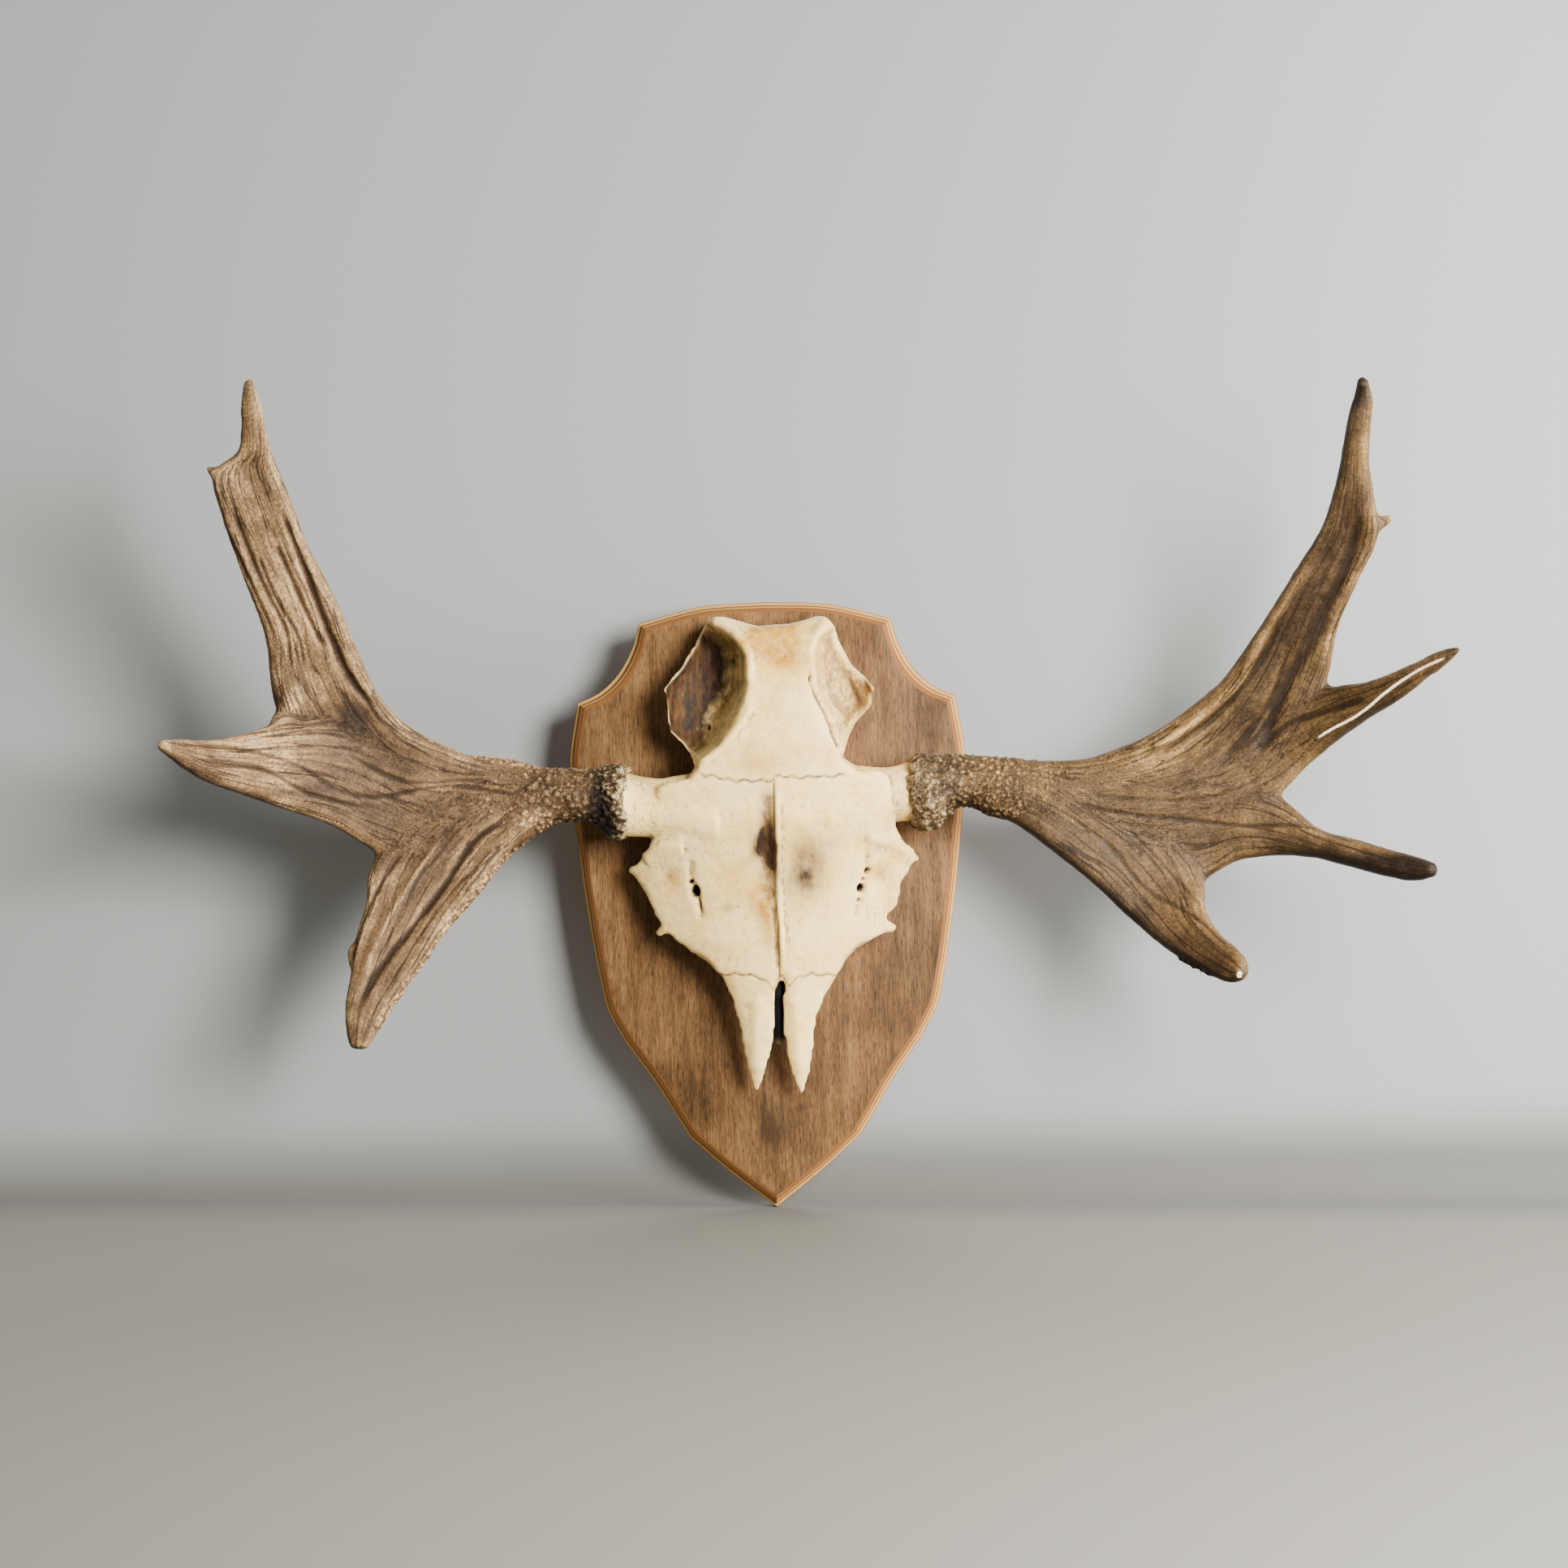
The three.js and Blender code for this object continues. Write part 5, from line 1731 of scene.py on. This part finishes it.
    def _surfaces(self, flat: np.ndarray) -> tuple[np.ndarray, np.ndarray]:
        """How high the skull's two surfaces are.

        Args:
            flat: An array of [x, z].

        Returns:
            Heights of the front and of the back.
        """
        x, z = flat.T
        side = np.abs(x - read_table(self.midline, z))
        depth = np.maximum(0.0, self._inside(flat))
        drop = read_table(self.side_drops, z)
        crown = read_table(self.heights, z) - drop * (side / self.DROP_AT) ** self.DROP_POWER
        half = read_table(self.vault_half_widths, z)
        edge_rise, edge_reach = self.FLOOR_EDGE
        flare, flare_from, flare_over = self.FLOOR_FLARE
        floor = self.temple_floor + edge_rise * np.exp(-((depth / edge_reach) ** 2))
        floor = floor + flare * ((side - flare_from) / flare_over) ** 2
        down = smoothstep((side - half) / read_table(self.temple_slopes, z), 0.0, 1.0)
        temple = smoothstep(side, 0.0, 1.0) * down * smoothstep(z, 92, 104)
        front = crown + (np.minimum(floor, crown) - crown) * temple
        overhang = np.maximum(smoothstep(side, *self.wall_side), smoothstep(z, *self.wall_snout))
        lifted = np.maximum(self.STAND_OFF, front - self.plate)
        back = self.STAND_OFF + (lifted - self.STAND_OFF) * overhang
        radius = np.where(z < self.NASAL_Z, self.round_snout, self.round_edge)
        share = np.clip(depth / radius, 0.0, 1.0)
        swell = np.sqrt(1.0 - (1.0 - share) ** 2)
        middle = back + np.minimum(0.5 * (front - back), self.WAIST)
        return middle + (front - middle) * swell, middle - (middle - back) * swell

    def _dress(self, skin: Skin) -> None:
        """Cuts ridges, hollows, holes and sutures into the skin and notes its stains and its painted shade.

        Args:
            skin: The smooth skin.
        """
        wave = Lattice(self.SEED)
        rough = wave.layered(skin.points / 7.0, 3)
        ragged = wave.layered(skin.points / 10.0 + 3.0, 3)
        faces_front = smoothstep(skin.normals[:, 1], 0.1, -0.5)
        height = 0.35 * rough + 0.5 * wave.at(skin.points / 19.0 + 9.0)
        for stroke in self.ridges + self.grooves:
            height -= stroke.depth * stroke.strength(skin, 0.8 * ragged)
        height -= faces_front * total(self.hollows, skin.points)
        holes = faces_front * total(self.foramina, skin.points)
        seam = self._seams(skin.points, ragged) * faces_front
        height -= holes + 0.6 * seam
        seam += 0.8 * self.grooves[0].strength(skin, 0.8 * ragged) ** 2
        points = skin.points.copy()
        temple = self._temple_share(points)
        skin.raise_by(height)
        left = smoothstep(points[:, 0], -8.0, -18.0)
        wall = smoothstep(self._from_vault(points), 24.0, 8.0)
        stain = temple * left * (1.25 - 0.75 * wall + 0.45 * ragged)
        # stains, and painted shade beside the midline ridge
        earth_and_shade = stain + total(self.earth_and_shade, points, 0.35 * ragged) * faces_front
        rim = smoothstep(self._inside(points[:, [0, 2]]), 14.0, 1.0)
        rim = rim * smoothstep(np.abs(points[:, 0]), 30.0, 60.0)
        # dirt near the edges and temples, and painted shade in the hollows
        grime_and_shade = np.clip(skin.hollowness(12) / 0.5, -0.3, 1.0) + 0.35 * rim + 0.5 * temple + 0.25 * ragged
        skin.store("grime_and_shade", grime_and_shade)
        skin.store("earth_and_shade", np.clip(earth_and_shade, 0.0, self.STAIN_MOST))
        skin.store("ochre", np.clip(total(self.ochre, points, 0.3 * ragged) * faces_front, 0.0, 1.0))
        # the gap between the nasal bones and the balls behind it are painted black as shade
        sunk = read_table(self.heights, points[:, 2]) - (BOARD_FRONT - points[:, 1])
        gap_shade = smoothstep(np.abs(points[:, 0] - 1.5), 9.0, 7.0) * smoothstep(sunk, 2.5, 5.0)
        gap_shade *= smoothstep(points[:, 2], -44.0, -49.0) * smoothstep(points[:, 2], -116.0, -88.0)
        # holes and the nasal gap are painted black as shade
        skin.store("hole_shade", np.maximum(smoothstep(holes, 1.2, 3.2), gap_shade))
        skin.store("seam", np.clip(seam, 0.0, 1.0))

    def _temple_share(self, points: np.ndarray) -> np.ndarray:
        """How fully each point lies in a temple hollow."""
        rim = smoothstep(self._inside(points[:, [0, 2]]), 0.8, 3.2)
        return smoothstep(self._from_vault(points), 0.5, 4.5) * smoothstep(points[:, 2], 98.0, 114.0) * rim

    def _from_vault(self, points: np.ndarray) -> np.ndarray:
        """How far each point lies outside the vault's edge, seen from the front."""
        side = np.abs(points[:, 0] - read_table(self.midline, points[:, 2]))
        return side - read_table(self.vault_half_widths, points[:, 2])

    def _seams(self, points: np.ndarray, waver: np.ndarray) -> np.ndarray:
        """How fully each point lies in a suture between two bones.

        Args:
            points: The skin's points.
            waver: Random waves that bend the sutures.

        Returns:
            Numbers from 0 to 1.
        """
        x, _, z = points.T
        teeth = 0.8 * np.sin(x / 1.7) + 1.6 * waver
        crown = read_table(self.CROWN_SUTURE, x)
        nasal = read_table(self.NASAL_SUTURE, x)
        middle = read_table(self.MIDDLE_SUTURE, z) - 1.2
        between_ends = smoothstep(z, 88.0, 84.0) * smoothstep(z, -52.0, -46.0)
        lines = (
            np.exp(-(((z - crown - teeth) / self.SUTURE) ** 2)) * smoothstep(np.abs(x), 52.0, 46.0),
            0.9 * np.exp(-(((z - nasal - 0.7 * teeth) / self.SUTURE) ** 2)) * smoothstep(z, -60.0, -56.0),
            np.exp(-(((x - middle - 0.5 * waver) / self.SUTURE) ** 2)) * between_ends,
        )
        return np.max(lines, axis=0)


# ---------------------------------------------------------------- board and fittings


@dataclass(frozen=True)
class ShieldBoard:
    """The shield: plywood with a routed edge, and with the hanger's pocket and the screws' holes in its back.

    Attributes:
        runs: The right half's outline from the top's middle to the point, as curves that meet at corners.
        edge: The routed profile, as distance in from the outline and y, from back to front.
        pocket: Middle height, width, height and depth of the hanger's pocket.
        nail_room: Width, height and depth of the space behind the keyhole.
        screw_holes: [x, z, radius, depth] of each hole.
    """

    name: str = "shield"
    nodes: tuple[str, ...] = ("shield_board",)
    runs: tuple[tuple[Point, ...], ...] = (
        ((0, 212), (45, 209.5), (88, 199)),
        ((88, 199), (93, 182), (104, 163), (117, 151), (132, 144)),
        ((132, 144), (138, 104), (134, 48), (129, 5), (121, -46), (115, -72), (104, -93)),
        ((104, -93), (93, -108.5), (83, -123), (71, -143), (60, -161)),
        ((60, -161), (35.5, -183), (0, -211)),
    )
    edge: tuple[Point, ...] = (
        (0.6, 0.0), (0.0, -0.6), (0.0, -8.3), (0.25, -8.9), (0.8, -9.3), (1.7, -9.6), (2.1, -9.9),
        (2.4, -11.4), (3.1, -13.4), (4.2, -15.4), (5.6, -16.9), (6.7, -17.6), (7.5, -18.0),
    )
    pocket: tuple[float, float, float, float] = (138.0, 18.6, 50.6, 2.6)
    nail_room: tuple[float, float, float] = (12.0, 26.0, 10.6)
    screw_holes: tuple[tuple[float, float, float, float], ...] = (
        (3.5, 178, 4.3, 3.2), (-20.5, 52, 4.3, 3.2), (27.5, 52, 4.3, 3.2),
    )
    finish: PlywoodFinish = field(default_factory=PlywoodFinish)
    OUTLINE_STEP = 3.0
    HOLE_SIDES = 40
    SHARP_FROM = 28.0  # degrees between faces from which their edge stays sharp

    def build(self) -> None:
        """Makes the board and gives it its finish."""
        rings = []
        for distance, y in self.edge:
            flat = self._outline(distance)
            rings.append(np.stack([flat[:, 0], np.full(len(flat), y), flat[:, 1]], axis=1))
        skin = Skin(self.name, self._cut(tube(np.array(rings))))
        skin.mesh.set_sharp_from_angle(angle=math.radians(self.SHARP_FROM))
        add_piece(self.name, skin.mesh, self.finish.material(), self.nodes)

    def _outline(self, distance: float) -> np.ndarray:
        """The whole outline moved inwards, its corners along their bisectors.

        Args:
            distance: How far inwards.

        Returns:
            [x, z] points, clockwise from the middle of the top.
        """
        runs = [smooth_rows(run, self.OUTLINE_STEP) for run in self.runs]
        slopes = [np.gradient(run, axis=0) for run in runs]
        inward = [np.stack([slope[:, 1], -slope[:, 0]], axis=1) for slope in slopes]
        inward = [normal / np.linalg.norm(normal, axis=1)[:, None] for normal in inward]
        half = []
        for i, (run, normal) in enumerate(zip(runs, inward)):
            before = inward[i - 1][-1] if i else normal[0] * (-1.0, 1.0)
            after = inward[i + 1][0] if i + 1 < len(runs) else normal[-1] * (-1.0, 1.0)
            start = (normal[0] + before) / (1.0 + normal[0] @ before) - normal[0]
            end = (normal[-1] + after) / (1.0 + normal[-1] @ after) - normal[-1]
            t = np.linspace(0.0, 1.0, len(run))[:, None]
            half.append((run + distance * (normal + start * (1.0 - t) + end * t))[:-1])
        right = np.concatenate([*half, [[0.0, runs[-1][-1][1] + distance / abs(inward[-1][-1][1])]]])
        return np.concatenate([right, right[1:-1][::-1] * (-1.0, 1.0)])

    def _cut(self, shell: Shell) -> Shell:
        """Cuts the pocket and the holes out of the back.

        Args:
            shell: The uncut board, used up.

        Returns:
            The board.
        """
        tools = bmesh.new()
        z, width, height, depth = self.pocket
        room_width, room_height, room_depth = self.nail_room
        for w, h, d in ((width, height, depth), (room_width, room_height, room_depth)):
            size = Matrix.Diagonal((w * MM, 2.0 * d * MM, h * MM, 1.0))
            matrix = Matrix.Translation((0.0, 0.0, z * MM)) @ size
            bmesh.ops.create_cube(tools, size=1.0, matrix=matrix)
        for x, hole_z, radius, hole_depth in self.screw_holes:
            matrix = Matrix.Translation((x * MM, 0.0, hole_z * MM)) @ Matrix.Rotation(math.pi / 2, 4, "X")
            bmesh.ops.create_cone(
                tools, cap_ends=True, segments=self.HOLE_SIDES, radius1=radius * MM, radius2=radius * MM,
                depth=2.0 * hole_depth * MM, matrix=matrix,
            )
        bmesh.ops.recalc_face_normals(tools, faces=tools.faces)
        cutter_mesh = mesh_of("cutter", tools)
        cutter = placed("cutter", cutter_mesh)

        def add_cut(holder: bpy.types.Object) -> None:
            """Adds the cut.

            Args:
                holder: The object that gets it.
            """
            cut = holder.modifiers.new("cut", "BOOLEAN")
            cut.operation = "DIFFERENCE"
            cut.solver = "EXACT"
            cut.use_self = True
            cut.object = cutter

        result = evaluated_shell(shell, add_cut)
        bpy.data.objects.remove(cutter)
        bpy.data.meshes.remove(cutter_mesh)
        return result


@dataclass(frozen=True)
class Fittings:
    """The steel at the back: the keyhole plate with its screws, and the screws that hold the skull."""

    nodes: tuple[str, ...] = (
        "hanger_plate", "hanger_screw_upper", "hanger_screw_lower",
        "skull_screw_top", "skull_screw_left", "skull_screw_right",
    )
    finish: ZincFinish = field(default_factory=ZincFinish)

    def build(self) -> None:
        """Gives the fittings, whose shape is the CAD's, their finish."""
        steel = self.finish.material()
        for name in self.nodes:
            for material_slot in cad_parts[name].material_slots:
                material_slot.material = steel
            log.info("%s: CAD shape, %s", name, steel.name)


# ---------------------------------------------------------------- studio


@dataclass(frozen=True)
class Lamp:
    """A square soft light that looks at the skull.

    Attributes:
        name: What it is for.
        place: Where it stands.
        size: Length of its side.
        watts: How strong it is.
    """

    name: str
    place: Spot
    size: float
    watts: float
    TARGET = (0.0, -0.05, 0.05)  # metres

    def build(self) -> None:
        """Sets the light up."""
        data = bpy.data.lights.new(self.name, "AREA")
        data.size = self.size * MM
        data.energy = self.watts
        light = placed(self.name, data)
        light.location = Vector(self.place) * MM
        aim = Vector(self.TARGET) - light.location
        light.rotation_euler = aim.to_track_quat("-Z", "Y").to_euler()


@dataclass(frozen=True)
class Studio:
    """A pale floor that sweeps up into a wall just behind the trophy, soft lights, and the camera.

    Attributes:
        wall_y: Where the wall stands.
        sweep: Radius of the bend between floor and wall.
        wall_grey: The paper's colour on the wall.
        bend_shade_grey: Its colour in the bend, darker as painted shade.
        floor_grey: Its colour on the floor.
        shade_across: Place across it, from 0 at the left to 1, and the grey that darkens it there as painted
            shade.
        half_width: How far from its middle those places reach.
        lamps: The soft lights.
        air: Colour of the light that comes from all round.
        air_strength: How strong that is.
        eye: Where the camera is.
        lens: Its focal length for a 36 mm wide picture.
        roll: How far it is turned clockwise, in radians.
    """

    wall_y: float = 42.0
    sweep: float = 30.0
    wall_grey: str = "#92928f"
    bend_shade_grey: str = "#605e57"
    # the bend's darker grey and the greys across are painted shade
    floor_grey: str = "#716e63"
    shade_across: tuple[tuple[float, str], ...] = ((0.0, "#fbfbfb"), (0.6, "#e2e2e2"), (1.0, "#ffffff"))
    half_width: float = 550.0
    lamps: tuple[Lamp, ...] = (
        Lamp("key", (780, -1480, 400), 620, 96.0),
        Lamp("side", (1900, -520, 330), 900, 80.0),
        Lamp("fill", (-1400, -1800, 500), 1300, 5.0),
        Lamp("back", (300, 1600, 1100), 1200, 30.0),
    )
    air: str = "#e2e2de"
    air_strength: float = 0.24
    eye: Spot = (11.1, -2218.0, 84.6)
    lens: float = 72.55
    roll: float = 0.021
    SWEEP_STEPS = 14
    FRONT_Y = -4000.0
    TOP_Z = 3500.0
    HALF_LENGTH = 4.0  # metres

    def build(self) -> None:
        """Makes the floor and wall, the lights and the camera."""
        self._backdrop()
        for lamp in self.lamps:
            lamp.build()
        world = bpy.data.worlds.new("studio air")
        world.use_nodes = True
        background = world.node_tree.nodes["Background"]
        background.inputs["Color"].default_value = linear(self.air)
        background.inputs["Strength"].default_value = self.air_strength
        bpy.context.scene.world = world
        self._camera()

    def _backdrop(self) -> None:
        """The paper: a strip drawn out from a line of points, seen only from its front.

        It is turned with the camera, so that the camera sees its bend level.
        """
        bend = [
            (self.wall_y - self.sweep * (1 - math.sin(a)), FLOOR_Z + self.sweep * (1 - math.cos(a)))
            for a in np.linspace(0.0, math.pi / 2, self.SWEEP_STEPS)
        ]
        profile = [(self.FRONT_Y, FLOOR_Z), *bend, (self.wall_y, self.TOP_Z)]
        shell = bmesh.new()
        verts = [shell.verts.new((-self.HALF_LENGTH, y * MM, z * MM)) for y, z in profile]
        edges = [shell.edges.new(pair) for pair in zip(verts[:-1], verts[1:])]
        made = bmesh.ops.extrude_edge_only(shell, edges=edges)["geom"]
        moved = [part for part in made if isinstance(part, bmesh.types.BMVert)]
        bmesh.ops.translate(shell, verts=moved, vec=(2.0 * self.HALF_LENGTH, 0.0, 0.0))
        level = Matrix.Rotation(self.roll, 3, "Y")
        bmesh.ops.rotate(shell, verts=shell.verts, cent=(0.0, 0.0, FLOOR_Z * MM), matrix=level)
        shell.faces.ensure_lookup_table()
        shell.normal_update()
        if shell.faces[0].normal.z < 0:
            bmesh.ops.reverse_faces(shell, faces=shell.faces)
        for face in shell.faces:
            face.smooth = True
        mesh = mesh_of("paper", shell)
        mesh.materials.append(self._paper())
        paper = placed("paper", mesh)
        paper.visible_shadow = False

    def _paper(self) -> bpy.types.Material:
        """Matt grey paper, clear from behind.

        Returns:
            The material.
        """
        s = Surface("studio paper")
        inputs = {"Vector": s.place, "Scale": 700.0, "Detail": 2.0}
        fibres = add_node(s.tree, "TexNoise", inputs).outputs["Fac"]
        bump = add_node(s.tree, "Bump", {"Height": fibres, "Distance": 0.0001, "Strength": 0.3})
        inputs = {"Base Color": self._greys(s), "Roughness": 0.9, "Normal": bump.outputs["Normal"]}
        matt = add_node(s.tree, "BsdfPrincipled", inputs)
        clear = add_node(s.tree, "BsdfTransparent")
        behind = add_node(s.tree, "NewGeometry").outputs["Backfacing"]
        mix = add_node(s.tree, "MixShader", {0: behind, 1: matt.outputs[0], 2: clear.outputs[0]})
        add_node(s.tree, "OutputMaterial", {"Surface": mix.outputs[0]})
        return s.material

    def _greys(self, s: Surface) -> Socket:
        """The paper's colours, with painted shade: darkest in the bend, and darker in places across.

        Args:
            s: The paper's material.

        Returns:
            The colour.
        """
        parts = add_node(s.tree, "SeparateXYZ", {0: s.place}).outputs
        inputs = {"Value": parts["X"], "From Min": -self.half_width * MM, "From Max": self.half_width * MM}
        across = add_node(s.tree, "MapRange", inputs).outputs["Result"]
        # painted shade across the paper
        shade_across = s.ramp(across, self.shade_across, "B_SPLINE")
        low, high = FLOOR_Z * MM, (FLOOR_Z + 2.4 * self.sweep) * MM
        up = s.stretch(parts["Z"], low + 0.15 * (high - low), high)
        near, far = (self.wall_y - 5.0 * self.sweep) * MM, (self.wall_y - 0.6 * self.sweep) * MM
        back = s.stretch(parts["Y"], near, far)
        grey = s.over(self.floor_grey, s.over(self.bend_shade_grey, self.wall_grey, up), back)
        inputs = {0: 1.0, 6: grey, 7: shade_across}
        return add_node(s.tree, "Mix", inputs, data_type="RGBA", blend_type="MULTIPLY").outputs[2]

    def _camera(self) -> None:
        """The camera, level, square to the board and rolled a little."""
        data = bpy.data.cameras.new("camera")
        data.sensor_width = 36.0
        data.lens = self.lens
        camera = placed("camera", data)
        camera.matrix_world = (
            Matrix.Translation(Vector(self.eye) * MM)
            @ Matrix.Rotation(self.roll, 4, "Y")
            @ Matrix.Rotation(math.pi / 2, 4, "X")
        )
        bpy.context.scene.camera = camera


def main() -> None:
    """Builds the trophy's pieces in order, then the studio."""
    logging.basicConfig(level=logging.INFO, format="%(name)s: %(message)s")
    Studio().build()
    ShieldBoard().build()
    Fittings().build()
    SkullCap().build()
    LEFT_ANTLER.build()
    RIGHT_ANTLER.build()
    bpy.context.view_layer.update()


if __name__ == "__main__":
    main()
